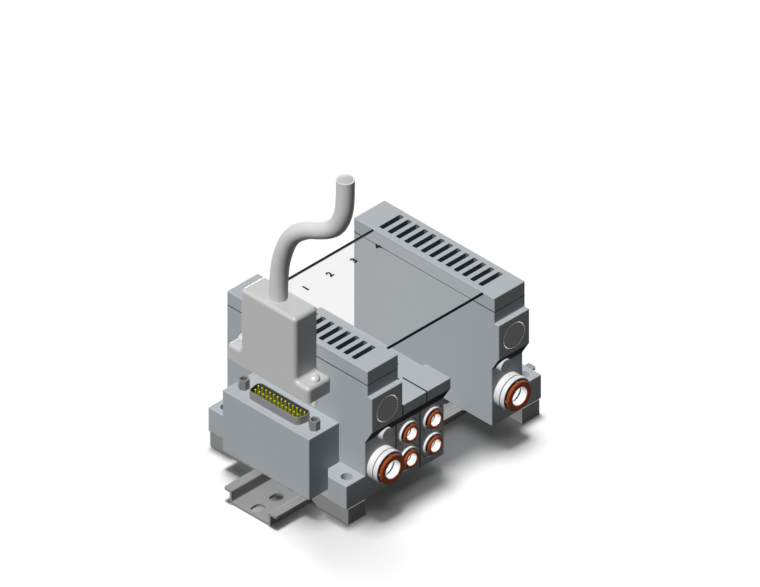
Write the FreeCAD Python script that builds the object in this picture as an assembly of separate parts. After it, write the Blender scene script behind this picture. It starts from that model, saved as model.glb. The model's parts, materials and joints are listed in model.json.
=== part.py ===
import FreeCAD, Part
import math
import os
from FreeCAD import Vector

# Valve island base on a 35 mm top-hat rail: two end blocks with vented caps, two fitted
# stations of a four-station row, a 25-pin socket with its cable plug drawn off above it,
# push-in tube ports with sliding release rings, and rail clamps at both ends.
# Millimetres. The origin is the middle of the rail's underside. X runs across the rail
# towards the tube ports, Y runs along the rail, Z is up.

# Top-hat rail
RAIL_LENGTH = 173.0
RAIL_WIDTH = 35.0
RAIL_BASE_WIDTH = 27.0
RAIL_HEIGHT = 7.5
RAIL_GAUGE = 1.25
RAIL_BEND = 0.6
RAIL_END_MARGIN = 5.25
RAIL_CORNER = 1.0
SLOT_PITCH = 12.5
SLOT_WIDTH = 5.5
SLOT_LENGTH = 7.5

# Row of stations along the rail
ROW_START = 38.1
END_WIDTH = 20.4
STATION_PITCH = 16.0
STATIONS = 4
FITTED_STATIONS = 2
GASKET_THICKNESS = 0.3

# Section of the end blocks, across the rail
BODY_LEFT = -53.4
PORT_FACE = 38.5
CAP_FACE = 40.1
PLATE_FACE = 43.1
BODY_LIFT = 1.5
BODY_HEIGHT = 66.5
SLOPE_FOOT = 32.6
SLOPE_HEAD = 40.3
PLATE_DROP = 6.5
EDGE_RADIUS = 0.4
SEAM_RADIUS = 0.25

# Mounting lugs on the outer side of each end block
LUG_WIDTH = 17.0
LUG_REACH = 12.5
LUG_HEIGHT = 13.5
LUG_CHAMFER = 4.8
LUG_HOLE_INSET = 5.9
LUG_HOLE_REACH = 6.3
LUG_HOLE_RADIUS = 2.9

# Vented cap and the silencer under it
CAP_HEIGHT = 7.8
CAP_WALL = 1.6
CAP_ROOF = 3.2
VENT_COUNT = 13
VENT_PITCH = 5.49
VENT_WIDTH = 2.9
VENT_LENGTH = 14.0
VENT_CORNER = 0.6
VENT_SHIFT = 1.1
CHAMBER_WALL = 2.6
CHAMBER_DEPTH = 12.0
SILENCER_CLEARANCE = 0.3
SILENCER_RISE = 2.6

# Closed exhaust port and pilot plug on the port side
EXHAUST_RADIUS = 7.1
EXHAUST_SHIFT = -0.45
EXHAUST_GROOVE = 0.35
EXHAUST_THICKNESS = 3.2
PILOT_RADIUS = 3.5
PILOT_HEIGHT = 33.3
PILOT_OUT = 3.3
PILOT_DEPTH = 5.0
PILOT_FRONT_Y = 11.7
PILOT_REAR_Y = 6.2
SUPPLY_HEIGHT = 16.4

# Station block
STATION_INSET = 3.0
STATION_TOP = 44.1
STATION_TOP_LEFT = 9.9
STATION_SHOULDER = 36.0
STATION_SHOULDER_DROP = 7.0
HEAD_TOP = 46.3
HEAD_WIDTH = 16.4
PORT_HEIGHTS = (10.1, 24.85)
BUSH_RADIUS = 7.2
BUSH_DEPTH = 6.0
BUSH_GROOVE = 0.3
BUSH_GROOVE_DEPTH = 0.5
DUCT_WIDTH = 5.0
DUCT_LENGTH = 9.0
DUCT_DEPTH = 8.0
DUCT_PLACES = (-24.0, -16.0, -8.0, 0.0, 8.0)
VALVE_SCREW_PLACES = (-31.0, 14.8)
VALVE_SCREW_RADIUS = 1.25
VALVE_SCREW_DEPTH = 7.0

# Galleries that run through the stations, as (place across, height above the block's foot)
GALLERY_HEIGHT = 15.5
SUPPLY_GALLERY = 8.0
SUPPLY_GALLERY_RADIUS = 5.0
EXHAUST_GALLERIES = (-10.5, -29.0)
EXHAUST_GALLERY_RADIUS = 5.5
FRONT_GALLERY_DEPTH = 11.0
GASKET_MARGIN = 3.2
TIE_ROD_RADIUS = 2.0
TIE_ROD_CLEARANCE = 0.15
TIE_ROD_DEPTH = 10.0
TIE_RODS = ((-44.5, 7.0), (20.5, 36.5))
NUT_ACROSS_FLATS = 7.0
NUT_HEIGHT = 3.2
NUT_SEAT_RADIUS = 4.6
NUT_SEAT_DEPTH = 4.0

# Electrical socket for one valve
SOCKET_PLACE = -38.5
SOCKET_WIDTH = 6.0
SOCKET_LENGTH = 5.2
SOCKET_RISE = 2.4
SOCKET_DEPTH = 6.0
SOCKET_HOLE_RADIUS = 0.5
SOCKET_HOLE_PITCH = 1.9
SOCKET_HOLE_DEPTH = 4.0
FIT_CLEARANCE = 0.05

# Housing of the multi-pin socket on the front end block
HOUSING_END_GAP = 0.58
HOUSING_DEPTH = 20.0
HOUSING_FOOT = 0.8
HOUSING_HEIGHT = 34.9
HOUSING_WALL = 2.0
HOUSING_SHIFT = -0.4
CONNECTOR_X = -7.2
CONNECTOR_REACH = 11.45

# Multi-pin socket
SHELL_LENGTH = 35.8
SHELL_WIDTH = 9.0
SHELL_GAUGE = 0.5
SHELL_RADIUS = 2.65
SHELL_SLANT = 10.0
SHELL_RISE = 4.2
FLANGE_EAR = 2.7
FLANGE_WIDTH = 12.4
FLANGE_GAUGE = 0.8
INSULATOR_SINK = 0.6
INSULATOR_DEPTH = 9.0
CONTACT_PITCH = 2.56
CONTACT_ROW_PITCH = 3.2
CONTACT_COUNT = 13
PIN_RADIUS = 0.5
PIN_RISE = 4.7
PIN_TAIL = 12.0
BOARD_GAUGE = 1.6
BOARD_DROP = 9.9
BOARD_MARGIN = 1.2
SCREW_SPACING = 47.04
JACK_ACROSS_FLATS = 5.0
JACK_RISE = 5.2
JACK_SLEEVE_RADIUS = 2.1
JACK_SLEEVE_LENGTH = 3.6
JACK_BORE_CLEARANCE = 0.4
SHEET_CLEARANCE = 0.1

# Cable plug, drawn off above the socket
PLUG_LIFT = 14.0
PLUG_SEAT_GAP = 0.2
HOOD_EAR = 3.7
HOOD_DEPTH = 15.6
HOOD_EAR_HEIGHT = 8.6
HOOD_NECK_WIDTH = 36.5
HOOD_HEIGHT = 44.3
HOOD_ROUND = 2.05
HOOD_INNER_ROUND = 1.9
PLUG_SHELL_OUT = 3.6
PLUG_SHELL_CLEARANCE = 0.3
PLUG_SHELL_GAUGE = 0.4
PLUG_FLANGE_EAR = 2.4
PLUG_FLANGE_WIDTH = 11.6
PLUG_INSULATOR_DEPTH = 6.0
PLUG_INSULATOR_SINK = 0.2
CONTACT_HOLE_RADIUS = 0.8
CONTACT_HOLE_DEPTH = 6.5
PLUG_SCREW_RADIUS = 1.3
PLUG_SCREW_OUT = 6.4
PLUG_SCREW_CLEARANCE = 0.2
DOME_RADIUS = 2.8
DOME_HEIGHT = 2.7
HEAD_GAP = 0.1

# Cable: route points across and above the hood's cable exit
CABLE_RADIUS = 4.5
CABLE_ROUTE = ((-0.4, 0.0), (-0.4, 12.0), (1.8, 25.5), (7.6, 39.5), (18.6, 48.8),
               (29.6, 53.4), (38.6, 59.6), (43.2, 70.0), (44.1, 80.0), (44.1, 89.9))
ARC_SHARE = 0.45

# Clear station cover and its edge rods
COVER_LEFT = 12.6
COVER_WIDTH = 72.9
COVER_SINK = 0.6
COVER_THICKNESS = 0.8
COVER_ROD_RADIUS = 0.65
COVER_ROD_SEAT = 1.0

# Rail hook and clamp jaw under the lugs
GRIP_LENGTH = 11.5
GRIP_OVERLAP = 0.3
GRIP_FLOOR = 0.2
GRIP_EDGE_GAP = 0.3
GRIP_LIP = 3.3
GRIP_LIP_GAP = 0.15
GRIP_LIP_FOOT = 2.4
JAW_TRAVEL = 4.0
JAW_HEAD_GAP = 0.15
CLAMP_SEAT = 5.0
CLAMP_HEAD_RADIUS = 2.7
CLAMP_HEAD_HEIGHT = 2.8
CLAMP_SHANK_RADIUS = 1.6
CLAMP_SHANK_CLEARANCE = 0.25
JAW_SLOT_CLEARANCE = 0.6
CLAMP_SOCKET_ACROSS_FLATS = 2.5
CLAMP_SOCKET_DEPTH = 1.5
CLAMP_FOOT = 1.0
CLAMP_NUT_WIDTH = 5.5
CLAMP_NUT_HEIGHT = 2.2
CLAMP_NUT_FLOOR = 1.2
CLAMP_NUT_CLEARANCE = 0.15


class TubePort:
    """Sizes of one push-in tube port, measured outwards from the port face."""

    def __init__(self, tube_radius, body_radius, nose, ring_radius, ring_out, ring_round,
                 travel, recess_depth, body_depth, groove):
        self.tube_radius = tube_radius
        self.body_radius = body_radius
        self.nose = nose
        self.ring_radius = ring_radius
        self.ring_out = ring_out
        self.ring_round = ring_round
        self.travel = travel
        self.recess_depth = recess_depth
        self.body_depth = body_depth
        self.groove = groove


RING_GAP = 0.5
RING_CLEARANCE = 0.3
RING_SKIRT_WALL = 1.1
RING_SKIRT_LENGTH = 2.4
RING_EDGE = 0.35
COLLET_GAP = 0.4
COLLET_LENGTH = 1.2
COLLET_OVERSIZE = 0.35
SEAL_LENGTH = 1.8
SEAL_GAP = 0.3
SEAL_WALL = 1.4
TUBE_SEAT_LENGTH = 6.0
FLOW_STEP = 0.9
FLOW_DEPTH = 3.0
GROOVE_WIDTH = 0.5
GROOVE_DEPTH = 0.35

STATION_PORT = TubePort(tube_radius=3.2, body_radius=5.8, nose=1.3, ring_radius=4.85,
                        ring_out=2.9, ring_round=0.8, travel=1.2, recess_depth=1.5,
                        body_depth=15.0, groove=0.0)
SUPPLY_PORT = TubePort(tube_radius=4.8, body_radius=8.95, nose=6.6, ring_radius=7.8,
                       ring_out=8.6, ring_round=0.5, travel=1.5, recess_depth=1.8,
                       body_depth=9.0, groove=3.5)

# How far a cutting shape runs past the face that it opens, and how near counts as equal
PAST = 1.0
NEAR = 0.001

# Places worked out from the sizes above
BODY_FOOT = RAIL_HEIGHT + BODY_LIFT
BODY_TOP = BODY_FOOT + BODY_HEIGHT
TOP = BODY_TOP + CAP_HEIGHT
PLATE_HEAD = BODY_HEIGHT - PLATE_DROP
EXHAUST_HEIGHT = (SLOPE_HEAD + PLATE_HEAD) / 2 + EXHAUST_SHIFT
FRONT_OUTER = -RAIL_LENGTH / 2 + ROW_START
FRONT_INNER = FRONT_OUTER + END_WIDTH
REAR_INNER = FRONT_INNER + STATIONS * STATION_PITCH
REAR_OUTER = REAR_INNER + END_WIDTH
CONNECTOR_Y = FRONT_OUTER - CONNECTOR_REACH
HOUSING_TOP = BODY_FOOT + HOUSING_FOOT + HOUSING_HEIGHT
FLANGE_LENGTH = SCREW_SPACING + 2 * FLANGE_EAR
HOUSING_WIDTH = FLANGE_LENGTH + 2 * (HOUSING_END_GAP + HOUSING_WALL)
PLUG_FLANGE_LENGTH = SCREW_SPACING + 2 * PLUG_FLANGE_EAR
HOOD_WIDTH = SCREW_SPACING + 2 * HOOD_EAR
HOOD_FOOT = HOUSING_TOP + JACK_RISE + PLUG_SEAT_GAP + PLUG_LIFT
HOOD_TOP = HOOD_FOOT + HOOD_HEIGHT
LUG_HOLES_X = (BODY_LEFT + LUG_HOLE_INSET, PORT_FACE - LUG_HOLE_INSET)
COVER_EDGES = (BODY_LEFT + COVER_LEFT, BODY_LEFT + COVER_LEFT + COVER_WIDTH)
COVER_ROD_HEIGHT = TOP - COVER_SINK - COVER_THICKNESS / 2
ENDS = ((FRONT_OUTER, -1), (REAR_OUTER, 1))
UP = Vector(0, 0, 1)
OUT = Vector(1, 0, 0)
ALONG = Vector(0, 1, 0)


def block(x0, x1, y0, y1, z0, z1):
    return Part.makeBox(x1 - x0, y1 - y0, z1 - z0, Vector(x0, y0, z0))


def rod(radius, start, direction, length):
    return Part.makeCylinder(radius, length, start, direction)


def prism_along(points, y0, y1):
    """A closed outline of (across, height) points, carried along the rail."""
    corners = [Vector(x, y0, z) for x, z in points]
    face = Part.Face(Part.makePolygon(corners + corners[:1]))
    return face.extrude(Vector(0, y1 - y0, 0))


def turned(points, x, y, z):
    """A closed outline of (distance out, radius) points, turned about an axis along X."""
    corners = [Vector(x + out, y, z + radius) for out, radius in points]
    face = Part.Face(Part.makePolygon(corners + corners[:1]))
    return face.revolve(Vector(x, y, z), OUT, 360)


def hexagon(across_flats, x, y, z, height, direction=UP):
    """A six-sided bar that stands on (x, y, z)."""
    radius = across_flats / math.sqrt(3)
    corners = []
    for step in range(6):
        angle = math.radians(60 * step + 30)
        along, aside = radius * math.cos(angle), radius * math.sin(angle)
        if direction == UP:
            corners.append(Vector(x + along, y + aside, z))
        else:
            corners.append(Vector(x + along, y, z + aside))
    face = Part.Face(Part.makePolygon(corners + corners[:1]))
    return face.extrude(direction * height)


def fuse(*shapes):
    return shapes[0].multiFuse(list(shapes[1:])).removeSplitter()


def rounded(shape, radius, wanted=lambda edge: True):
    """The shape with the wanted straight edges rounded."""
    edges = [e for e in shape.Edges if wanted(e)]
    return shape.makeFillet(radius, edges)


def runs_along(edge, axis):
    """True where a straight edge lies along the axis."""
    ends = [v.Point for v in edge.Vertexes]
    if len(ends) < 2:
        return False
    way = ends[1] - ends[0]
    return way.Length > 0 and way.normalize().cross(axis).Length < NEAR


def slot(x, y, z, width, length, height):
    """A round-ended slot that runs along the rail."""
    half = (length - width) / 2
    middle = block(x - width / 2, x + width / 2, y - half, y + half, z, z + height)
    ends = [rod(width / 2, Vector(x, y + side * half, z), UP, height) for side in (-1, 1)]
    return fuse(middle, *ends)


def din_rail():
    """The top-hat section, bent from one strip, with its row of slots."""
    wall = RAIL_BASE_WIDTH / 2
    edge = RAIL_WIDTH / 2
    right = [(wall, 0), (wall, RAIL_HEIGHT - RAIL_GAUGE), (edge, RAIL_HEIGHT - RAIL_GAUGE),
             (edge, RAIL_HEIGHT), (wall - RAIL_GAUGE, RAIL_HEIGHT),
             (wall - RAIL_GAUGE, RAIL_GAUGE)]
    left = [(-x, z) for x, z in reversed(right)]
    half = RAIL_LENGTH / 2
    strip = prism_along(right + left, -half, half)

    def is_bend(edge_):
        return runs_along(edge_, ALONG) and abs(edge_.Vertexes[0].Point.x) < edge - NEAR

    def is_corner(edge_):
        return runs_along(edge_, UP) and abs(abs(edge_.Vertexes[0].Point.x) - edge) < NEAR

    strip = rounded(strip, RAIL_BEND, is_bend)
    strip = rounded(strip, RAIL_CORNER, is_corner)
    count = int((RAIL_LENGTH - 2 * RAIL_END_MARGIN) / SLOT_PITCH + NEAR) + 1
    first = -(count - 1) * SLOT_PITCH / 2
    cuts = [slot(0, first + i * SLOT_PITCH, -PAST, SLOT_WIDTH, SLOT_LENGTH, RAIL_GAUGE + 2 * PAST)
            for i in range(count)]
    return strip.cut(cuts)


def rail_saddles(y0, y1):
    """Two ribs under a block that sit on the rail's flanges."""
    inner = RAIL_BASE_WIDTH / 2 + RAIL_GAUGE / 2
    outer = RAIL_WIDTH / 2 + RAIL_GAUGE
    return [block(min(side * inner, side * outer), max(side * inner, side * outer),
                  y0 + RAIL_GAUGE, y1 - RAIL_GAUGE, RAIL_HEIGHT, BODY_FOOT + EDGE_RADIUS)
            for side in (-1, 1)]


def lug(side, outer, away):
    """One mounting lug: side is -1 or 1 across, away is -1 or 1 along the rail."""
    face = PORT_FACE if side > 0 else BODY_LEFT
    near, far = face, face - side * LUG_WIDTH
    root, tip = outer - away * EDGE_RADIUS, outer + away * LUG_REACH
    outline = [(near, root), (near, tip), (far + side * LUG_CHAMFER, tip),
               (far, tip - away * LUG_CHAMFER), (far, root)]
    corners = [Vector(x, y, BODY_FOOT) for x, y in outline]
    plate = Part.Face(Part.makePolygon(corners + corners[:1])).extrude(UP * LUG_HEIGHT)
    return rounded(plate, EDGE_RADIUS, lambda e: abs(e.CenterOfMass.y - root) > EDGE_RADIUS)


def lug_hole(x, y):
    """The stepped hole in a lug, with the screw head's seat part of the way down."""
    seat = BODY_FOOT + CLAMP_SEAT
    top = BODY_FOOT + LUG_HEIGHT
    well = rod(LUG_HOLE_RADIUS, Vector(x, y, seat), UP, top - seat + PAST)
    shank = rod(CLAMP_SHANK_RADIUS + CLAMP_SHANK_CLEARANCE, Vector(x, y, BODY_FOOT - PAST), UP,
                CLAMP_SEAT + 2 * PAST)
    return fuse(well, shank)


def port_bore(port, face, y, z):
    """What a tube port removes from the block that carries it."""
    seat = rod(port.body_radius + FIT_CLEARANCE, Vector(face - port.body_depth, y, z), OUT,
               port.body_depth + port.nose + PAST)
    flow = rod(port.tube_radius - FLOW_STEP, Vector(face - port.body_depth - FLOW_DEPTH, y, z), OUT,
               FLOW_DEPTH + PAST)
    return fuse(seat, flow)


def end_block(inner, outer, pilot_y, galleries):
    """One end block: housing, lugs, silencer chamber and the seats of its ports."""
    low, high = min(inner, outer), max(inner, outer)
    away = 1 if outer > inner else -1
    outline = [(BODY_LEFT, BODY_FOOT), (PORT_FACE, BODY_FOOT),
               (PORT_FACE, BODY_FOOT + SLOPE_FOOT), (PLATE_FACE, BODY_FOOT + SLOPE_HEAD),
               (PLATE_FACE, BODY_FOOT + PLATE_HEAD), (CAP_FACE, BODY_FOOT + PLATE_HEAD),
               (CAP_FACE, BODY_TOP), (BODY_LEFT, BODY_TOP)]
    body = rounded(prism_along(outline, low, high), EDGE_RADIUS,
                   lambda e: e.CenterOfMass.z < BODY_TOP - SEAM_RADIUS)
    body = rounded(body, SEAM_RADIUS, lambda e: e.CenterOfMass.z > BODY_TOP - SEAM_RADIUS)
    lugs = [lug(side, outer, away) for side in (-1, 1)]
    body = fuse(body, *lugs, *rail_saddles(low, high))
    middle = (low + high) / 2
    lug_y = outer + away * LUG_HOLE_REACH
    cuts = [lug_hole(x, lug_y) for x in LUG_HOLES_X]
    cuts.append(block(BODY_LEFT + CHAMBER_WALL, CAP_FACE - CHAMBER_WALL,
                      low + CHAMBER_WALL, high - CHAMBER_WALL,
                      BODY_TOP - CHAMBER_DEPTH, BODY_TOP + PAST))
    cuts.append(port_bore(SUPPLY_PORT, PORT_FACE, middle, BODY_FOOT + SUPPLY_HEIGHT))
    cuts.append(rod(EXHAUST_RADIUS, Vector(PLATE_FACE - EXHAUST_THICKNESS, middle,
                    BODY_FOOT + EXHAUST_HEIGHT), OUT, EXHAUST_THICKNESS + PAST))
    cuts.append(rod(PILOT_RADIUS + FIT_CLEARANCE, Vector(PORT_FACE - PILOT_DEPTH,
                    low + pilot_y, BODY_FOOT + PILOT_HEIGHT), OUT, PILOT_DEPTH + PILOT_OUT))
    if galleries:
        cuts += gallery_bores(inner - FRONT_GALLERY_DEPTH, inner + PAST)
        cuts += [rod(TIE_ROD_RADIUS + FIT_CLEARANCE,
                     Vector(x, inner - TIE_ROD_DEPTH, BODY_FOOT + z), ALONG,
                     TIE_ROD_DEPTH + PAST) for x, z in TIE_RODS]
    return body.cut(cuts)


def gallery_bores(y0, y1):
    """The supply gallery and the two exhaust galleries, as cutting rods."""
    height = BODY_FOOT + GALLERY_HEIGHT
    supply = rod(SUPPLY_GALLERY_RADIUS, Vector(SUPPLY_GALLERY, y0, height), ALONG, y1 - y0)
    exhausts = [rod(EXHAUST_GALLERY_RADIUS, Vector(x, y0, height), ALONG, y1 - y0)
                for x in EXHAUST_GALLERIES]
    return [supply] + exhausts


def vent_cap(inner, outer):
    """The thin cap over the silencer, with its row of vent slots."""
    low, high = min(inner, outer), max(inner, outer)
    away = 1 if outer > inner else -1
    shell = block(BODY_LEFT, CAP_FACE, low, high, BODY_TOP, TOP)
    shell = rounded(shell, EDGE_RADIUS, lambda e: e.CenterOfMass.z > BODY_TOP + SEAM_RADIUS)
    shell = rounded(shell, SEAM_RADIUS, lambda e: e.CenterOfMass.z < BODY_TOP + SEAM_RADIUS)
    hollow = block(BODY_LEFT + CAP_WALL, CAP_FACE - CAP_WALL, low + CAP_WALL,
                   high - CAP_WALL, BODY_TOP - PAST, TOP - CAP_ROOF)
    centre = (BODY_LEFT + CAP_FACE) / 2 + VENT_SHIFT
    first = centre - (VENT_COUNT - 1) * VENT_PITCH / 2
    middle = (low + high) / 2
    vents = []
    for i in range(VENT_COUNT):
        x = first + i * VENT_PITCH
        vent = block(x - VENT_WIDTH / 2, x + VENT_WIDTH / 2, middle - VENT_LENGTH / 2,
                     middle + VENT_LENGTH / 2, TOP - CAP_ROOF - PAST, TOP + PAST)
        vents.append(rounded(vent, VENT_CORNER, lambda e: runs_along(e, UP)))
    seats = [rod(COVER_ROD_RADIUS + FIT_CLEARANCE,
                 Vector(x, inner + away * COVER_ROD_SEAT, COVER_ROD_HEIGHT), ALONG * -away,
                 COVER_ROD_SEAT + PAST) for x in COVER_EDGES]
    return shell.cut([hollow] + vents + seats)


def silencer(inner, outer):
    """The porous block that fills the chamber under a cap."""
    low, high = min(inner, outer), max(inner, outer)
    inset = CHAMBER_WALL + SILENCER_CLEARANCE
    return block(BODY_LEFT + inset, CAP_FACE - inset, low + inset, high - inset,
                 BODY_TOP - CHAMBER_DEPTH, BODY_TOP + SILENCER_RISE)


def exhaust_plug(inner, outer):
    """The round plug that closes the exhaust port, flush with the plate."""
    middle = (inner + outer) / 2
    start = Vector(PLATE_FACE - EXHAUST_THICKNESS, middle, BODY_FOOT + EXHAUST_HEIGHT)
    seat = rod(EXHAUST_RADIUS, start, OUT, EXHAUST_THICKNESS / 2)
    disc = rod(EXHAUST_RADIUS - EXHAUST_GROOVE, start, OUT, EXHAUST_THICKNESS)
    return fuse(seat, disc)


def pilot_plug(low, pilot_y):
    """The small round plug in the pilot port."""
    length = PILOT_DEPTH + PILOT_OUT
    start = Vector(PORT_FACE - PILOT_DEPTH, low + pilot_y, BODY_FOOT + PILOT_HEIGHT)
    plug = rod(PILOT_RADIUS, start, OUT, length)
    tip = start.x + length
    return rounded(plug, EDGE_RADIUS, lambda e: abs(e.CenterOfMass.x - tip) < NEAR)


def station_start(index):
    return FRONT_INNER + index * STATION_PITCH + GASKET_THICKNESS


def station_middle(index):
    return station_start(index) + (STATION_PITCH - GASKET_THICKNESS) / 2


def station_block(index):
    """One station: the moulded block with its port head, galleries and valve face."""
    low = station_start(index)
    high = low + STATION_PITCH - GASKET_THICKNESS
    left = BODY_LEFT + STATION_INSET
    top_left = BODY_LEFT + STATION_TOP_LEFT
    head_left = PLATE_FACE - HEAD_WIDTH
    outline = [(left, BODY_FOOT), (PORT_FACE, BODY_FOOT),
               (PORT_FACE, BODY_FOOT + SLOPE_FOOT), (PLATE_FACE, BODY_FOOT + SLOPE_HEAD),
               (PLATE_FACE, BODY_FOOT + HEAD_TOP), (head_left, BODY_FOOT + HEAD_TOP),
               (head_left, BODY_FOOT + STATION_TOP), (top_left, BODY_FOOT + STATION_TOP),
               (top_left, BODY_FOOT + STATION_SHOULDER),
               (left, BODY_FOOT + STATION_SHOULDER - STATION_SHOULDER_DROP)]
    body = rounded(prism_along(outline, low, high), SEAM_RADIUS)
    body = fuse(body, *rail_saddles(low, high))
    middle = station_middle(index)
    top = BODY_FOOT + STATION_TOP
    cuts = gallery_bores(low - PAST, high + PAST)
    for height in PORT_HEIGHTS:
        z = BODY_FOOT + height
        cuts.append(port_bore(STATION_PORT, PORT_FACE, middle, z))
        cuts.append(rod(BUSH_RADIUS, Vector(PORT_FACE - BUSH_DEPTH, middle, z), OUT,
                        BUSH_DEPTH + PAST))
    for x, height in TIE_RODS:
        z = BODY_FOOT + height
        cuts.append(rod(TIE_ROD_RADIUS + TIE_ROD_CLEARANCE, Vector(x, low - PAST, z), ALONG,
                        STATION_PITCH + 2 * PAST))
        if index == FITTED_STATIONS - 1:
            cuts.append(rod(NUT_SEAT_RADIUS, Vector(x, high - NUT_SEAT_DEPTH, z), ALONG,
                            NUT_SEAT_DEPTH + PAST))
    for x in DUCT_PLACES:
        cuts.append(slot(x, middle, top - DUCT_DEPTH, DUCT_WIDTH, DUCT_LENGTH,
                         DUCT_DEPTH + PAST))
    for x in VALVE_SCREW_PLACES:
        cuts.append(rod(VALVE_SCREW_RADIUS, Vector(x, middle, top - VALVE_SCREW_DEPTH), UP,
                        VALVE_SCREW_DEPTH + PAST))
    cuts.append(block(SOCKET_PLACE - SOCKET_WIDTH / 2, SOCKET_PLACE + SOCKET_WIDTH / 2,
                      middle - SOCKET_LENGTH / 2, middle + SOCKET_LENGTH / 2,
                      top - SOCKET_DEPTH, top + PAST))
    return body.cut(cuts)


def port_bushes():
    """The pressed-in ring round each tube port, with a fine groove at its rim."""
    bushes = []
    for index in range(FITTED_STATIONS):
        middle = station_middle(index)
        for height in PORT_HEIGHTS:
            foot = Vector(PORT_FACE - BUSH_DEPTH, middle, BODY_FOOT + height)
            seat = rod(BUSH_RADIUS, foot, OUT, BUSH_DEPTH - BUSH_GROOVE_DEPTH)
            rim = rod(BUSH_RADIUS - BUSH_GROOVE, foot, OUT, BUSH_DEPTH)
            bore = rod(STATION_PORT.body_radius + FIT_CLEARANCE, foot, OUT, BUSH_DEPTH)
            bushes.append(fuse(seat, rim).cut(bore))
    return Part.makeCompound(bushes)


def valve_socket(index):
    """The electrical socket that a valve plugs into, with two rows of three contacts."""
    middle = station_middle(index)
    top = BODY_FOOT + STATION_TOP + SOCKET_RISE
    body = block(SOCKET_PLACE - SOCKET_WIDTH / 2, SOCKET_PLACE + SOCKET_WIDTH / 2,
                 middle - SOCKET_LENGTH / 2, middle + SOCKET_LENGTH / 2,
                 BODY_FOOT + STATION_TOP - SOCKET_DEPTH, top)
    holes = [rod(SOCKET_HOLE_RADIUS,
                 Vector(SOCKET_PLACE + column * SOCKET_HOLE_PITCH,
                        middle + row * SOCKET_HOLE_PITCH / 2, top - SOCKET_HOLE_DEPTH),
                 UP, SOCKET_HOLE_DEPTH + PAST)
             for column in (-1, 0, 1) for row in (-1, 1)]
    return body.cut(holes)


def block_gaskets():
    """The thin rubber plate on the front of each station, one solid each."""
    left = min(EXHAUST_GALLERIES) - EXHAUST_GALLERY_RADIUS - GASKET_MARGIN
    right = SUPPLY_GALLERY + SUPPLY_GALLERY_RADIUS + GASKET_MARGIN
    half = EXHAUST_GALLERY_RADIUS + GASKET_MARGIN
    height = BODY_FOOT + GALLERY_HEIGHT
    plates = []
    for index in range(FITTED_STATIONS):
        y1 = station_start(index)
        y0 = y1 - GASKET_THICKNESS
        plate = block(left, right, y0, y1, height - half, height + half)
        plate = rounded(plate, GASKET_MARGIN, lambda e: runs_along(e, ALONG))
        plates.append(plate.cut(gallery_bores(y0 - PAST, y1 + PAST)))
    return Part.makeCompound(plates)


def row_end():
    """The far face of the last fitted station."""
    return FRONT_INNER + FITTED_STATIONS * STATION_PITCH


def tie_rods():
    """The rods that pull the fitted stations against the front end block."""
    start = FRONT_INNER - TIE_ROD_DEPTH
    length = row_end() - FIT_CLEARANCE - start
    return Part.makeCompound([rod(TIE_ROD_RADIUS, Vector(x, start, BODY_FOOT + z), ALONG,
                                  length) for x, z in TIE_RODS])


def tie_rod_nuts():
    """A nut on the end of each tie rod, seated in the last station."""
    seat = row_end() - NUT_SEAT_DEPTH
    nuts = []
    for x, height in TIE_RODS:
        z = BODY_FOOT + height
        nut = hexagon(NUT_ACROSS_FLATS, x, seat, z, NUT_HEIGHT, ALONG)
        nuts.append(nut.cut(rod(TIE_ROD_RADIUS, Vector(x, seat - PAST, z), ALONG,
                                NUT_HEIGHT + 2 * PAST)))
    return Part.makeCompound(nuts)


def inner_stations(port):
    """Places along a port's axis, outwards from its face, where the bore changes."""
    recess_floor = port.nose - port.recess_depth
    ring_back = port.nose + RING_GAP
    skirt_end = ring_back - RING_SKIRT_LENGTH
    collet_front = skirt_end - port.travel - COLLET_GAP
    collet_back = collet_front - COLLET_LENGTH
    seal_front = collet_back - SEAL_GAP
    seal_back = seal_front - SEAL_LENGTH
    return {"recess": recess_floor, "ring": ring_back, "skirt": skirt_end,
            "collet": (collet_front, collet_back), "seal": (seal_front, seal_back),
            "stop": seal_back - TUBE_SEAT_LENGTH}


def port_body(port, face, y, z):
    """The turned body of a tube port: ring recess, collet bore, seal seat, tube seat."""
    at = inner_stations(port)
    recess = port.ring_radius + RING_CLEARANCE
    skirt = port.tube_radius + RING_SKIRT_WALL + RING_CLEARANCE
    seal = port.tube_radius + SEAL_WALL + FIT_CLEARANCE
    flow = port.tube_radius - FLOW_STEP
    outer = port.body_radius
    outline = [(-port.body_depth, flow), (-port.body_depth, outer),
               (port.nose - RING_EDGE, outer), (port.nose, outer - RING_EDGE),
               (port.nose, recess), (at["recess"], recess), (at["recess"], skirt),
               (at["seal"][0], skirt), (at["seal"][0], seal), (at["seal"][1], seal),
               (at["seal"][1], port.tube_radius), (at["stop"], port.tube_radius),
               (at["stop"], flow)]
    body = turned(outline, face, y, z)
    if port.groove:
        ring = [(port.groove, outer - GROOVE_DEPTH), (port.groove, outer + PAST),
                (port.groove + GROOVE_WIDTH, outer + PAST),
                (port.groove + GROOVE_WIDTH, outer - GROOVE_DEPTH)]
        body = body.cut(turned(ring, face, y, z))
    return body


def release_ring(port, face, y, z):
    """The ring that is pushed in to free the tube, with the skirt that opens the collet."""
    at = inner_stations(port)
    bore = port.tube_radius
    skirt = bore + RING_SKIRT_WALL
    outline = [(at["skirt"], bore), (at["skirt"], skirt), (at["ring"], skirt),
               (at["ring"], port.ring_radius), (port.ring_out, port.ring_radius),
               (port.ring_out, bore + RING_EDGE), (port.ring_out - RING_EDGE, bore)]
    ring = turned(outline, face, y, z)
    widest = port.ring_radius - NEAR
    return rounded(ring, port.ring_round, lambda e: e.BoundBox.XMin > face + port.ring_out - NEAR
                   and e.BoundBox.ZLength > 2 * widest)


def ring_between(inner, outer, front, back, face, y, z):
    return turned([(back, inner), (back, outer), (front, outer), (front, inner)], face, y, z)


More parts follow.
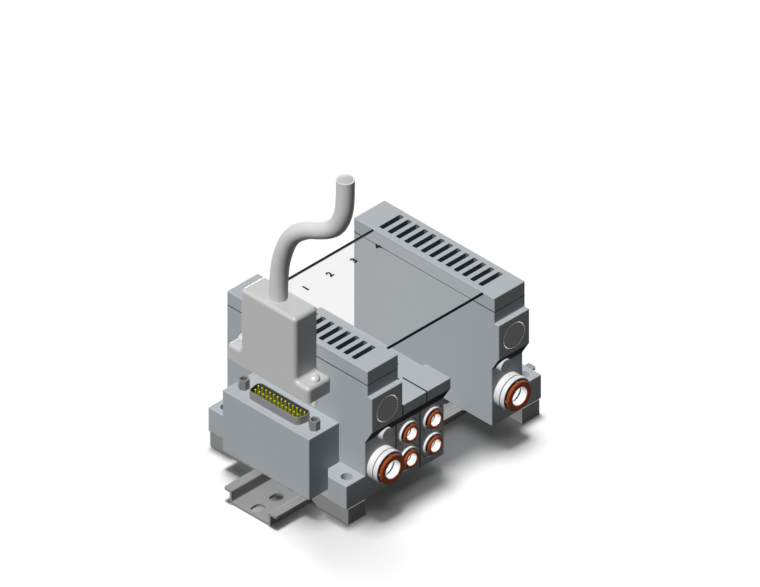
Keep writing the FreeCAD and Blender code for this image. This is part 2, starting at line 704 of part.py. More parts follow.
def collet(port, face, y, z):
    """The toothed clamp ring that holds the tube, as a plain tapered ring."""
    front, back = inner_stations(port)["collet"]
    outer = port.tube_radius + RING_SKIRT_WALL + RING_CLEARANCE
    inner = port.tube_radius + COLLET_OVERSIZE
    outline = [(back, inner), (back, outer), (front, outer), (front, outer - COLLET_OVERSIZE)]
    return turned(outline, face, y, z)


def tube_seal(port, face, y, z):
    """The rubber seal behind the collet."""
    front, back = inner_stations(port)["seal"]
    return ring_between(port.tube_radius + FIT_CLEARANCE, port.tube_radius + SEAL_WALL,
                        front, back, face, y, z)


def port_places():
    """Name, sizes and axis of every tube port."""
    places = []
    for index in range(FITTED_STATIONS):
        y = station_middle(index)
        for letter, height in zip("ba", PORT_HEIGHTS):
            places.append((f"port_{letter}{index + 1}", STATION_PORT, y, BODY_FOOT + height))
    z = BODY_FOOT + SUPPLY_HEIGHT
    places.append(("front_supply", SUPPLY_PORT, (FRONT_OUTER + FRONT_INNER) / 2, z))
    places.append(("rear_supply", SUPPLY_PORT, (REAR_OUTER + REAR_INNER) / 2, z))
    return places


def shell_bar(length, width, radius, z0, z1):
    """A bar with the slant-sided multi-pin outline, wide side towards the end block."""
    half = width / 2
    lean = width * math.tan(math.radians(SHELL_SLANT))
    corners = [(-length / 2, half), (length / 2, half), (length / 2 - lean, -half),
               (-length / 2 + lean, -half)]
    points = [Vector(CONNECTOR_X + x, CONNECTOR_Y + y, z0) for x, y in corners]
    bar = Part.Face(Part.makePolygon(points + points[:1])).extrude(UP * (z1 - z0))
    return rounded(bar, radius, lambda e: runs_along(e, UP))


def screw_places():
    return [(CONNECTOR_X + side * SCREW_SPACING / 2, CONNECTOR_Y) for side in (-1, 1)]


def contact_places():
    """The two staggered rows of contacts."""
    places = []
    for row, count in ((1, CONTACT_COUNT), (-1, CONTACT_COUNT - 1)):
        first = -(count - 1) * CONTACT_PITCH / 2
        places += [(CONNECTOR_X + first + i * CONTACT_PITCH,
                    CONNECTOR_Y + row * CONTACT_ROW_PITCH / 2) for i in range(count)]
    return places


def connector_housing():
    """The moulded box on the front end block that carries the multi-pin socket."""
    middle = CONNECTOR_X + HOUSING_SHIFT
    x0, x1 = middle - HOUSING_WIDTH / 2, middle + HOUSING_WIDTH / 2
    y0, y1 = FRONT_OUTER - HOUSING_DEPTH, FRONT_OUTER
    z0, z1 = BODY_FOOT + HOUSING_FOOT, HOUSING_TOP
    shell = rounded(block(x0, x1, y0, y1, z0, z1), EDGE_RADIUS,
                    lambda e: e.CenterOfMass.y < y1 - EDGE_RADIUS)
    wall = HOUSING_WALL
    cuts = [block(x0 + wall, x1 - wall, y0 + wall, y1 + PAST, z0 + wall, z1 - wall)]
    cuts.append(shell_bar(SHELL_LENGTH + 2 * SHEET_CLEARANCE, SHELL_WIDTH + 2 * SHEET_CLEARANCE,
                          SHELL_RADIUS + SHEET_CLEARANCE, z1 - wall - PAST, z1 + PAST))
    cuts += [rod(JACK_SLEEVE_RADIUS + SHEET_CLEARANCE, Vector(x, y, z1 - wall - PAST), UP,
                 wall + 2 * PAST) for x, y in screw_places()]
    return shell.cut(cuts)


def connector_shell():
    """The pressed metal shell and flange of the fixed socket."""
    top = HOUSING_TOP - HOUSING_WALL
    flange = block(CONNECTOR_X - FLANGE_LENGTH / 2, CONNECTOR_X + FLANGE_LENGTH / 2,
                   CONNECTOR_Y - FLANGE_WIDTH / 2, CONNECTOR_Y + FLANGE_WIDTH / 2,
                   top - FLANGE_GAUGE, top)
    outer = shell_bar(SHELL_LENGTH, SHELL_WIDTH, SHELL_RADIUS, top - FLANGE_GAUGE,
                      HOUSING_TOP + SHELL_RISE)
    inner = shell_bar(SHELL_LENGTH - 2 * SHELL_GAUGE, SHELL_WIDTH - 2 * SHELL_GAUGE,
                      SHELL_RADIUS - SHELL_GAUGE, top - FLANGE_GAUGE - PAST,
                      HOUSING_TOP + SHELL_RISE + PAST)
    holes = [rod(JACK_SLEEVE_RADIUS + SHEET_CLEARANCE, Vector(x, y, top - FLANGE_GAUGE - PAST),
                 UP, FLANGE_GAUGE + 2 * PAST) for x, y in screw_places()]
    return fuse(flange, outer).cut([inner] + holes)


def connector_insulator():
    """The moulding that holds the pins of the fixed socket."""
    top = HOUSING_TOP - INSULATOR_SINK
    inset = SHELL_GAUGE + FIT_CLEARANCE
    body = shell_bar(SHELL_LENGTH - 2 * inset, SHELL_WIDTH - 2 * inset, SHELL_RADIUS - inset,
                     top - INSULATOR_DEPTH, top)
    return body.cut([rod(PIN_RADIUS, Vector(x, y, top - INSULATOR_DEPTH - PAST), UP,
                         INSULATOR_DEPTH + 2 * PAST) for x, y in contact_places()])


def connector_pins():
    """Twenty-five round-nosed pins, one solid each."""
    pins = []
    for x, y in contact_places():
        foot = HOUSING_TOP - PIN_TAIL
        pin = rod(PIN_RADIUS, Vector(x, y, foot), UP, PIN_TAIL + PIN_RISE - PIN_RADIUS)
        nose = Part.makeSphere(PIN_RADIUS, Vector(x, y, HOUSING_TOP + PIN_RISE - PIN_RADIUS))
        pins.append(fuse(pin, nose))
    return Part.makeCompound(pins)


def relay_board():
    """The circuit board under the socket that the pin tails are soldered through."""
    top = HOUSING_TOP - BOARD_DROP
    middle = CONNECTOR_X + HOUSING_SHIFT
    half = HOUSING_WIDTH / 2 - HOUSING_WALL - BOARD_MARGIN
    board = block(middle - half, middle + half,
                  FRONT_OUTER - HOUSING_DEPTH + HOUSING_WALL + BOARD_MARGIN,
                  FRONT_OUTER - BOARD_MARGIN, top - BOARD_GAUGE, top)
    return board.cut([rod(PIN_RADIUS, Vector(x, y, top - BOARD_GAUGE - PAST), UP,
                          BOARD_GAUGE + 2 * PAST) for x, y in contact_places()])


def jack_sockets():
    """The two hexagon posts that take the plug's screws."""
    posts = []
    for x, y in screw_places():
        post = hexagon(JACK_ACROSS_FLATS, x, y, HOUSING_TOP, JACK_RISE)
        sleeve = rod(JACK_SLEEVE_RADIUS, Vector(x, y, HOUSING_TOP - JACK_SLEEVE_LENGTH), UP,
                     JACK_SLEEVE_LENGTH + PAST)
        bore = rod(PLUG_SCREW_RADIUS + JACK_BORE_CLEARANCE,
                   Vector(x, y, HOUSING_TOP - JACK_SLEEVE_LENGTH - PAST), UP,
                   JACK_SLEEVE_LENGTH + JACK_RISE + 2 * PAST)
        posts.append(fuse(post, sleeve).cut(bore))
    return Part.makeCompound(posts)


def plug_hood():
    """The moulded hood: ears, neck, a pocket for the contacts and the screw holes."""
    half, neck = HOOD_WIDTH / 2, HOOD_NECK_WIDTH / 2
    ear = HOOD_FOOT + HOOD_EAR_HEIGHT
    outline = [(-half, HOOD_FOOT), (half, HOOD_FOOT), (half, ear), (neck, ear),
               (neck, HOOD_TOP), (-neck, HOOD_TOP), (-neck, ear), (-half, ear)]
    points = [(CONNECTOR_X + x, z) for x, z in outline]
    low, high = CONNECTOR_Y - HOOD_DEPTH / 2, CONNECTOR_Y + HOOD_DEPTH / 2
    hood = prism_along(points, low, high)

    def in_corner(edge):
        place = edge.CenterOfMass
        return (runs_along(edge, ALONG) and abs(place.z - ear) < NEAR
                and abs(abs(place.x - CONNECTOR_X) - neck) < NEAR)

    hood = rounded(hood, HOOD_INNER_ROUND, in_corner)
    hood = rounded(hood, HOOD_ROUND, lambda e: e.CenterOfMass.z > HOOD_FOOT + NEAR)
    cuts = [block(CONNECTOR_X - PLUG_FLANGE_LENGTH / 2, CONNECTOR_X + PLUG_FLANGE_LENGTH / 2,
                  CONNECTOR_Y - PLUG_FLANGE_WIDTH / 2, CONNECTOR_Y + PLUG_FLANGE_WIDTH / 2,
                  HOOD_FOOT - PAST, HOOD_FOOT + FLANGE_GAUGE)]
    cuts.append(plug_insulator_bar(HOOD_FOOT - PAST, HOOD_FOOT + PLUG_INSULATOR_DEPTH))
    cuts += [rod(PLUG_SCREW_RADIUS + PLUG_SCREW_CLEARANCE, Vector(x, y, HOOD_FOOT - PAST), UP,
                 HOOD_EAR_HEIGHT + 2 * PAST) for x, y in screw_places()]
    return hood.cut(cuts)


def plug_shell_size():
    """Length and width of the plug's shell, which enters the fixed one."""
    step = 2 * (SHELL_GAUGE + PLUG_SHELL_CLEARANCE)
    return SHELL_LENGTH - step, SHELL_WIDTH - step


def plug_insulator_bar(z0, z1):
    length, width = plug_shell_size()
    radius = SHELL_RADIUS - SHELL_GAUGE - PLUG_SHELL_CLEARANCE - PLUG_SHELL_GAUGE
    return shell_bar(length - 2 * PLUG_SHELL_GAUGE, width - 2 * PLUG_SHELL_GAUGE, radius,
                     z0, z1)


def plug_shell():
    """The metal shell of the plug, with the flange let into the hood."""
    length, width = plug_shell_size()
    flange = block(CONNECTOR_X - PLUG_FLANGE_LENGTH / 2, CONNECTOR_X + PLUG_FLANGE_LENGTH / 2,
                   CONNECTOR_Y - PLUG_FLANGE_WIDTH / 2, CONNECTOR_Y + PLUG_FLANGE_WIDTH / 2,
                   HOOD_FOOT, HOOD_FOOT + FLANGE_GAUGE)
    tube = shell_bar(length, width, SHELL_RADIUS - SHELL_GAUGE - PLUG_SHELL_CLEARANCE,
                     HOOD_FOOT - PLUG_SHELL_OUT, HOOD_FOOT + FLANGE_GAUGE)
    cuts = [plug_insulator_bar(HOOD_FOOT - PLUG_SHELL_OUT - PAST, HOOD_FOOT + 2 * PAST)]
    cuts += [rod(PLUG_SCREW_RADIUS + PLUG_SCREW_CLEARANCE, Vector(x, y, HOOD_FOOT - PAST), UP,
                 FLANGE_GAUGE + 2 * PAST)
             for x, y in screw_places()]
    return fuse(flange, tube).cut(cuts)


def plug_insulator():
    """The moulding with the plug's twenty-five contact holes."""
    foot = HOOD_FOOT - PLUG_SHELL_OUT + PLUG_INSULATOR_SINK
    body = plug_insulator_bar(foot, HOOD_FOOT + PLUG_INSULATOR_DEPTH)
    return body.cut([rod(CONTACT_HOLE_RADIUS, Vector(x, y, foot - PAST), UP,
                         CONTACT_HOLE_DEPTH + PAST) for x, y in contact_places()])


def plug_screw(x, y):
    """A screw with a domed head above the ear and its tip out below the hood."""
    seat = HOOD_FOOT + HOOD_EAR_HEIGHT + HEAD_GAP
    foot = HOOD_FOOT - PLUG_SCREW_OUT
    shank = rod(PLUG_SCREW_RADIUS, Vector(x, y, foot), UP, seat - foot + DOME_HEIGHT / 2)
    shank = rounded(shank, EDGE_RADIUS, lambda e: abs(e.CenterOfMass.z - foot) < NEAR)
    ball = (DOME_RADIUS ** 2 + DOME_HEIGHT ** 2) / (2 * DOME_HEIGHT)
    sphere = Part.makeSphere(ball, Vector(x, y, seat + DOME_HEIGHT - ball))
    dome = sphere.common(rod(2 * ball, Vector(x, y, seat), UP, 2 * ball))
    return fuse(shank, dome)


def route_wire(points):
    """Straight runs joined by arcs; each arc is as large as its two runs allow."""
    edges = []
    start = points[0]
    for before, corner, after in zip(points, points[1:], points[2:]):
        way_in = (corner - before).normalize()
        way_out = (after - corner).normalize()
        turn = way_in.getAngle(way_out)
        reach = ARC_SHARE * min((corner - before).Length, (after - corner).Length)
        radius = reach / math.tan(turn / 2)
        print(f"cable arc radius {radius:.1f} mm")
        a, b = corner - way_in * reach, corner + way_out * reach
        inward = (way_out - way_in).normalize()
        middle = corner + inward * (radius / math.cos(turn / 2) - radius)
        edges.append(Part.LineSegment(start, a).toShape())
        edges.append(Part.Arc(a, middle, b).toShape())
        start = b
    edges.append(Part.LineSegment(start, points[-1]).toShape())
    return Part.Wire(edges)


def plug_cable():
    """The stub of cable that stands out of the hood."""
    points = [Vector(CONNECTOR_X + x, CONNECTOR_Y, HOOD_TOP + z) for x, z in CABLE_ROUTE]
    path = route_wire(points)
    ring = Part.Wire(Part.makeCircle(CABLE_RADIUS, points[0], UP))
    tube = path.makePipeShell([ring], True, False)
    section = math.pi * CABLE_RADIUS ** 2
    print(f"cable length {path.Length:.1f} mm, volume ratio "
          f"{tube.Volume / (section * path.Length):.4f}")
    return tube


def rail_grip(side, foot, head, face):
    """The section that grips one flange of the rail: side is -1 or 1 across."""
    edge = RAIL_WIDTH / 2 + GRIP_EDGE_GAP
    lip = edge - GRIP_LIP - GRIP_EDGE_GAP
    under = RAIL_HEIGHT - RAIL_GAUGE - GRIP_LIP_GAP
    over = RAIL_HEIGHT + GRIP_LIP_GAP
    outline = [(edge, foot), (abs(face), foot), (abs(face), head), (lip, head), (lip, over),
               (edge, over), (edge, under), (lip, under), (lip, foot + GRIP_LIP_FOOT)]
    return [(side * x, z) for x, z in outline]


def grip_span(outer, away):
    """Where a grip lies along the rail, low end first."""
    ends = (outer - away * GRIP_OVERLAP, outer + away * (GRIP_LENGTH - GRIP_OVERLAP))
    return min(ends), max(ends)


def rail_hook(outer, away):
    """The fixed hook on the far side of the rail."""
    low, high = grip_span(outer, away)
    hook = prism_along(rail_grip(-1, GRIP_FLOOR, BODY_FOOT, BODY_LEFT), low, high)
    x, y = LUG_HOLES_X[0], outer + away * LUG_HOLE_REACH
    return hook.cut(rod(CLAMP_SHANK_RADIUS, Vector(x, y, CLAMP_FOOT), UP, BODY_FOOT))


def clamp_jaw(outer, away):
    """The sliding jaw on the port side, slotted for its screw and nut."""
    low, high = grip_span(outer, away)
    head = BODY_FOOT - JAW_HEAD_GAP
    jaw = prism_along(rail_grip(1, GRIP_FLOOR, head, PORT_FACE), low, high)
    x, y = LUG_HOLES_X[1], outer + away * LUG_HOLE_REACH
    gap = CLAMP_SHANK_RADIUS + JAW_SLOT_CLEARANCE
    pocket = CLAMP_NUT_WIDTH / 2 + CLAMP_NUT_CLEARANCE
    roof = CLAMP_NUT_FLOOR + CLAMP_NUT_HEIGHT + CLAMP_NUT_CLEARANCE
    passage = block(x - JAW_TRAVEL - gap, x + gap, y - gap, y + gap, 0, BODY_FOOT)
    nut_room = block(x - JAW_TRAVEL - pocket, x + pocket, y - pocket, y + pocket, 0, roof)
    return jaw.cut([passage, nut_room])


def clamp_screw(x, y):
    """A socket-head screw from the lug's seat down to the clamp."""
    seat = BODY_FOOT + CLAMP_SEAT
    head = rod(CLAMP_HEAD_RADIUS, Vector(x, y, seat), UP, CLAMP_HEAD_HEIGHT)
    shank = rod(CLAMP_SHANK_RADIUS, Vector(x, y, CLAMP_FOOT), UP, seat - CLAMP_FOOT + PAST)
    recess = hexagon(CLAMP_SOCKET_ACROSS_FLATS, x, y, seat + CLAMP_HEAD_HEIGHT
                     - CLAMP_SOCKET_DEPTH, CLAMP_SOCKET_DEPTH + PAST)
    return fuse(head, shank).cut(recess)


def clamp_nuts():
    """The square nut in each jaw's pocket."""
    nuts = []
    for outer, away in ENDS:
        x, y = LUG_HOLES_X[1], outer + away * LUG_HOLE_REACH
        half = CLAMP_NUT_WIDTH / 2
        nut = block(x - half, x + half, y - half, y + half, CLAMP_NUT_FLOOR,
                    CLAMP_NUT_FLOOR + CLAMP_NUT_HEIGHT)
        nuts.append(nut.cut(rod(CLAMP_SHANK_RADIUS + FIT_CLEARANCE, Vector(x, y, 0), UP,
                                BODY_FOOT)))
    return Part.makeCompound(nuts)


def hook_screws():
    """The screws that hold the fixed hooks to the lugs."""
    return Part.makeCompound([clamp_screw(LUG_HOLES_X[0], outer + away * LUG_HOLE_REACH)
                              for outer, away in ENDS])


def station_cover():
    """The clear sheet over the row of stations."""
    return block(COVER_EDGES[0] + COVER_ROD_RADIUS, COVER_EDGES[1] - COVER_ROD_RADIUS,
                 FRONT_INNER, REAR_INNER, TOP - COVER_SINK - COVER_THICKNESS,
                 TOP - COVER_SINK)


def cover_rods():
    """The two rods along the sheet's edges, seated in the caps."""
    start = FRONT_INNER - COVER_ROD_SEAT
    length = REAR_INNER + COVER_ROD_SEAT - start
    return Part.makeCompound([rod(COVER_ROD_RADIUS, Vector(x, start, COVER_ROD_HEIGHT), ALONG,
                                  length) for x in COVER_EDGES])


def build():
    """Every piece of the valve island, by name."""
    pieces = {"din_rail": din_rail()}
    ends = (("front", FRONT_INNER, FRONT_OUTER, PILOT_FRONT_Y, -1),
            ("rear", REAR_INNER, REAR_OUTER, PILOT_REAR_Y, 1))
    for name, inner, outer, pilot_y, away in ends:
        pieces[f"{name}_end_block"] = end_block(inner, outer, pilot_y, name == "front")
        pieces[f"{name}_vent_cap"] = vent_cap(inner, outer)
        pieces[f"{name}_silencer"] = silencer(inner, outer)
        pieces[f"{name}_exhaust_plug"] = exhaust_plug(inner, outer)
        pieces[f"{name}_pilot_plug"] = pilot_plug(min(inner, outer), pilot_y)
        pieces[f"{name}_rail_hook"] = rail_hook(outer, away)
        pieces[f"{name}_clamp_jaw"] = clamp_jaw(outer, away)
        pieces[f"{name}_clamp_screw"] = clamp_screw(LUG_HOLES_X[1],
                                                    outer + away * LUG_HOLE_REACH)
    pieces["clamp_nuts"] = clamp_nuts()
    pieces["hook_screws"] = hook_screws()
    for index in range(FITTED_STATIONS):
        pieces[f"station_block_{index + 1}"] = station_block(index)
        pieces[f"valve_socket_{index + 1}"] = valve_socket(index)
    pieces["port_bushes"] = port_bushes()
    pieces["block_gaskets"] = block_gaskets()
    pieces["tie_rods"] = tie_rods()
    pieces["tie_rod_nuts"] = tie_rod_nuts()
    places = port_places()
    for name, port, y, z in places:
        pieces[f"{name}_fitting"] = port_body(port, PORT_FACE, y, z)
        pieces[f"{name}_release_ring"] = release_ring(port, PORT_FACE, y, z)
    pieces["tube_collets"] = Part.makeCompound([collet(port, PORT_FACE, y, z)
                                                for _, port, y, z in places])
    pieces["tube_seals"] = Part.makeCompound([tube_seal(port, PORT_FACE, y, z)
                                              for _, port, y, z in places])
    pieces["connector_housing"] = connector_housing()
    pieces["connector_shell"] = connector_shell()
    pieces["connector_insulator"] = connector_insulator()
    pieces["connector_pins"] = connector_pins()
    pieces["jack_sockets"] = jack_sockets()
    pieces["relay_board"] = relay_board()
    pieces["plug_hood"] = plug_hood()
    pieces["plug_shell"] = plug_shell()
    pieces["plug_insulator"] = plug_insulator()
    for name, (x, y) in zip(("left", "right"), screw_places()):
        pieces[f"plug_screw_{name}"] = plug_screw(x, y)
    pieces["plug_cable"] = plug_cable()
    pieces["station_cover"] = station_cover()
    pieces["cover_rods"] = cover_rods()
    return pieces


os.makedirs("parts", exist_ok=True)
for node, shape in build().items():
    if not shape.isValid():
        print("not valid:", node)
    shape.exportStep(f"parts/{node}.step")
    print(f"{node}: {len(shape.Solids)} solids, {shape.Volume:.1f} mm3")
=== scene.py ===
import json

import bmesh
import bpy
import numpy as np
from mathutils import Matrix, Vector


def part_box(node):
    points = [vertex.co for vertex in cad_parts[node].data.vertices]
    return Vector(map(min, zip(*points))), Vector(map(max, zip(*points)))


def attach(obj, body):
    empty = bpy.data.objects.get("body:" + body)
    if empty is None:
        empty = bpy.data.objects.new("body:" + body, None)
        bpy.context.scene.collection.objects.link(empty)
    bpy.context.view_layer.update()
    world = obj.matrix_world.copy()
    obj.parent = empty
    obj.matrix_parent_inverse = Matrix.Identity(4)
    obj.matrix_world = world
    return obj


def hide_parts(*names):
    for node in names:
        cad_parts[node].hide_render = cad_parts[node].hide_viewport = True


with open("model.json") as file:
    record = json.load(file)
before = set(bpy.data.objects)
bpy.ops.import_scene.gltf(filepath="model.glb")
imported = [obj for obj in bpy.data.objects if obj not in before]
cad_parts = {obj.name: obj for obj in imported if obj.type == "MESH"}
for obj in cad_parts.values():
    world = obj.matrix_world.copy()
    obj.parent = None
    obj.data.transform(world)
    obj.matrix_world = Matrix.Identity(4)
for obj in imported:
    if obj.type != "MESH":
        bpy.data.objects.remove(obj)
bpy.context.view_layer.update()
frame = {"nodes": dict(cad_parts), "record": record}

# Valve island base on a top-hat rail, seen from a cube's corner, as isometric drawings are.
# Metres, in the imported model's frame: X towards the tube ports, Y along the rail, Z up.

MM = 0.001
TURN = 2 * np.pi

# Picture
PICTURE_WIDTH = 760
PIXELS_PER_MM = 2.125
LOOKS_AT = Vector((-1.04, 1.07, 83.3)) * MM
FROM_CORNER = Vector((1, -1, 1)).normalized()
CAMERA_DISTANCE = 1.2
CAMERA_REACH = 20.0

# Light on the object: a key over the left shoulder, and a low one for the faces behind
KEY_FROM = Vector((0.04, -0.92, 1.42))
KEY_LEVEL = 1.69
KEY_SPREAD = 0.25
BACK_FROM = Vector((-0.75, 0.66, 0.0))
BACK_LEVEL = 0.55
SURROUND = 0.04

# Floor, and the high lamps that lay the shadow and its soft edge on it
FLOOR_SIZE = 6.0
FLOOR_SEEN = 0.70
FLOOR_BOUNCE = 0.02
# Painted shadow under the rail: the floor's colour there, and the share of the rail's width it
# spans
FLOOR_RAIL_SHADOW = 0.3
RAIL_SHADOW_SHARE = 0.75
FLOOR_GLOW = 0.022
SHADOW_FROM = Vector((-0.14, 0.07, 1.0))
SHADOW_LEVEL = 1.18
SHADOW_SPREAD = 0.25
HALO_FROM = Vector((0.0, 0.0, 1.0))
HALO_LEVEL = 0.22
HALO_SPREAD = 0.8
SHEET_SHADE = 0.8

# Cable: its route in mm, across and above the hood's exit, then its size and its cut end
CABLE_ROUTE = ((-0.4, 0.0), (-0.4, 12.0), (1.8, 25.5), (7.6, 39.5), (18.6, 48.8),
               (29.6, 53.4), (38.6, 59.6), (43.2, 70.0), (44.1, 80.0), (44.1, 89.9))
CABLE_RADIUS = 4.5 * MM
CUT_RADIUS = CABLE_RADIUS - 0.9 * MM
CUT_EDGE_RADIUS = CABLE_RADIUS - 0.8 * MM
CUT_RISE = 0.10 * MM
CUT_EDGE_RISE = 0.06 * MM
CUT_ROOT = -0.3 * MM
CUT_COLUMNS = 64

# Plug screws: thread, chamfered tip and domed head
SCREW_COLUMNS = 48
THREAD_PITCH = 0.6 * MM
THREAD_STEPS = 6
THREAD_DEPTH = 0.14 * MM
THREAD_INTO_HOOD = 1.2 * MM
TIP_CHAMFER = 0.4 * MM
HEAD_CHAMFER = 0.1 * MM
HEAD_EDGE = 0.15 * MM
DOME_STEPS = 13

# Teeth round the exhaust plugs, and the bright sleeves in the release rings
RIM_TEETH = 30
TOOTH_SHARE = 0.42
RIM_WIDTH = 0.35 * MM
RIM_DEPTH = 1.2 * MM
RIM_INSET = 0.03 * MM
RIM_SINK = 0.05 * MM
LINER_COLUMNS = 96
LINER_WALL = 0.12 * MM
LINER_SHY = 0.12 * MM
LINER_SUNK = 3 * LINER_SHY
LINER_FIT = LINER_WALL / 10
PORT_NAMES = ("port_a1", "port_b1", "port_a2", "port_b2", "front_supply", "rear_supply")

# Station numbers on the clear sheet
NUMERALS = 4
NUMERAL_SIZE = 5.2 * MM
NUMERAL_X = -29.2 * MM
NUMERAL_LIFT = 0.02 * MM
NUMERAL_WEIGHT = 0.27 * MM

# Knurled rims of the release rings
KNURLS = 44
KNURL_SHARE = 0.35
KNURL_REACH = 0.08 * MM
RING_SEAT = 0.02 * MM

# Painted shade: the share of a piece's own colour that is left in the shaded places, and where
# they lie
PIT = 0.03
VENT_PIT = 0.38
MOUTH_SHADE = 0.3
UNDERSIDE_SHADE = 0.35
SEAM_REACH = 0.3 * MM
PIT_MARGIN = 0.35 * MM
PIT_SINK = 0.05 * MM
VENT_MARGIN = 1.0 * MM
GROOVE_SINK = 0.03 * MM
GROOVE_SHARE = 0.975
PORT_FACE = 38.5 * MM
PLATE_FACE = 43.1 * MM
FAR_OFF = 1000.0

# How far a face has to look a way, as a part of 1, to count as looking that way
LOOKS_DOWN = -0.3
LOOKS_OUT = 0.8

# Meshes: what lies this close is one point, and edges past this angle stay sharp
SAME_POINT = 1e-7
NO_LENGTH = 1e-8
SHARP_ANGLE = 0.6
TOOTH_ANGLE = 0.3
AT_RIM = 0.99
AT_HEAD = 0.98

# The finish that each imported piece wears, by how its name ends
WORN_BY = {
    "body": ("_end_block", "station_block_1", "station_block_2", "connector_housing"),
    "cap": ("_vent_cap",),
    "bush": ("port_bushes",),
    "disc": ("_exhaust_plug",),
    "plug": ("_pilot_plug",),
    "silencer": ("_silencer",),
    "rail": ("din_rail",),
    "grip": ("_rail_hook", "_clamp_jaw"),
    "screw": ("_clamp_screw", "clamp_nuts", "hook_screws", "tie_rods", "tie_rod_nuts",
              "plug_screw_left", "plug_screw_right"),
    "dark": ("valve_socket_1", "valve_socket_2", "connector_insulator"),
    "rubber": ("block_gaskets", "tube_seals"),
    "collet": ("tube_collets",),
    "mouth": ("connector_shell",),
    "contact": ("connector_pins",),
    "jack": ("jack_sockets",),
    "board": ("relay_board",),
    "hood": ("plug_hood",),
    "shell": ("plug_shell",),
    "light": ("plug_insulator",),
    "cable": ("plug_cable",),
    "cover": ("station_cover",),
    "rod": ("cover_rods",),
}


def paint(red, green, blue):
    """A screen colour of 0 to 255 as the linear colour that a shader takes."""
    share = np.array([red, green, blue]) / 255
    linear = np.where(share <= 0.04045, share / 12.92, ((share + 0.055) / 1.055) ** 2.4)
    return (*linear, 1.0)


def shade(colour, factor):
    """The colour made lighter or darker."""
    return (*(min(1.0, part * factor) for part in colour[:3]), 1.0)


def turning(node):
    """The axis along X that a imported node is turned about, as y and z, and its radius."""
    low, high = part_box(node)
    return (low.y + high.y) / 2, (low.z + high.z) / 2, (high.y - low.y) / 2


def reach_about_x(node, y, z):
    """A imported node's corners, and how far each lies from the axis through (y, z)."""
    points = np.array([v.co for v in frame["nodes"][node].data.vertices])
    return points, np.hypot(points[:, 1] - y, points[:, 2] - z)


class Value:
    """A socket of a node tree, with plain arithmetic."""

    def __init__(self, wiring, socket):
        self.wiring = wiring
        self.socket = socket

    def maths(self, operation, *operands):
        return self.wiring.node("ShaderNodeMath", {"operation": operation},
                                dict(enumerate(operands)))

    def __add__(self, other):
        return self.maths("ADD", self, other)

    def __sub__(self, other):
        return self.maths("SUBTRACT", self, other)

    def __rsub__(self, other):
        return self.maths("SUBTRACT", other, self)

    def __mul__(self, other):
        return self.maths("MULTIPLY", self, other)

    def __pow__(self, other):
        return self.maths("POWER", self, other)

    def __gt__(self, other):
        return self.maths("GREATER_THAN", self, other)

    def __lt__(self, other):
        return self.maths("LESS_THAN", self, other)

    def __or__(self, other):
        return self.maths("MAXIMUM", self, other)

    __radd__ = __add__
    __rmul__ = __mul__

    def near(self, place, reach):
        """1 within reach of the place, else 0."""
        return self.maths("COMPARE", self, place, reach)

    def wave(self):
        return self.maths("SINE", self)


class Wiring:
    """A node tree that nodes and links are added to."""

    def __init__(self, tree):
        self.tree = tree

    def node(self, kind, settings=None, sockets=None, output=0):
        """Adds a node: its settings first, then values or links for its sockets."""
        made = self.tree.nodes.new(kind)
        for key, value in (settings or {}).items():
            setattr(made, key, value)
        for key, value in (sockets or {}).items():
            self.feed(made.inputs[key], value)
        return Value(self, made.outputs[output])

    def feed(self, socket, value):
        if isinstance(value, Value):
            self.tree.links.new(value.socket, socket)
        else:
            socket.default_value = value

    def mix(self, factor, first, second):
        return self.node("ShaderNodeMix", {"data_type": "RGBA"},
                         {0: factor, 6: first, 7: second}, output=2)

    def seen_ray(self):
        """1 where the ray comes straight from the camera, a gloss or a clear sheet."""
        camera, gloss, clear = (self.node("ShaderNodeLightPath", output=kind) for kind in
                                ("Is Camera Ray", "Is Glossy Ray", "Is Transmission Ray"))
        return camera | gloss | clear


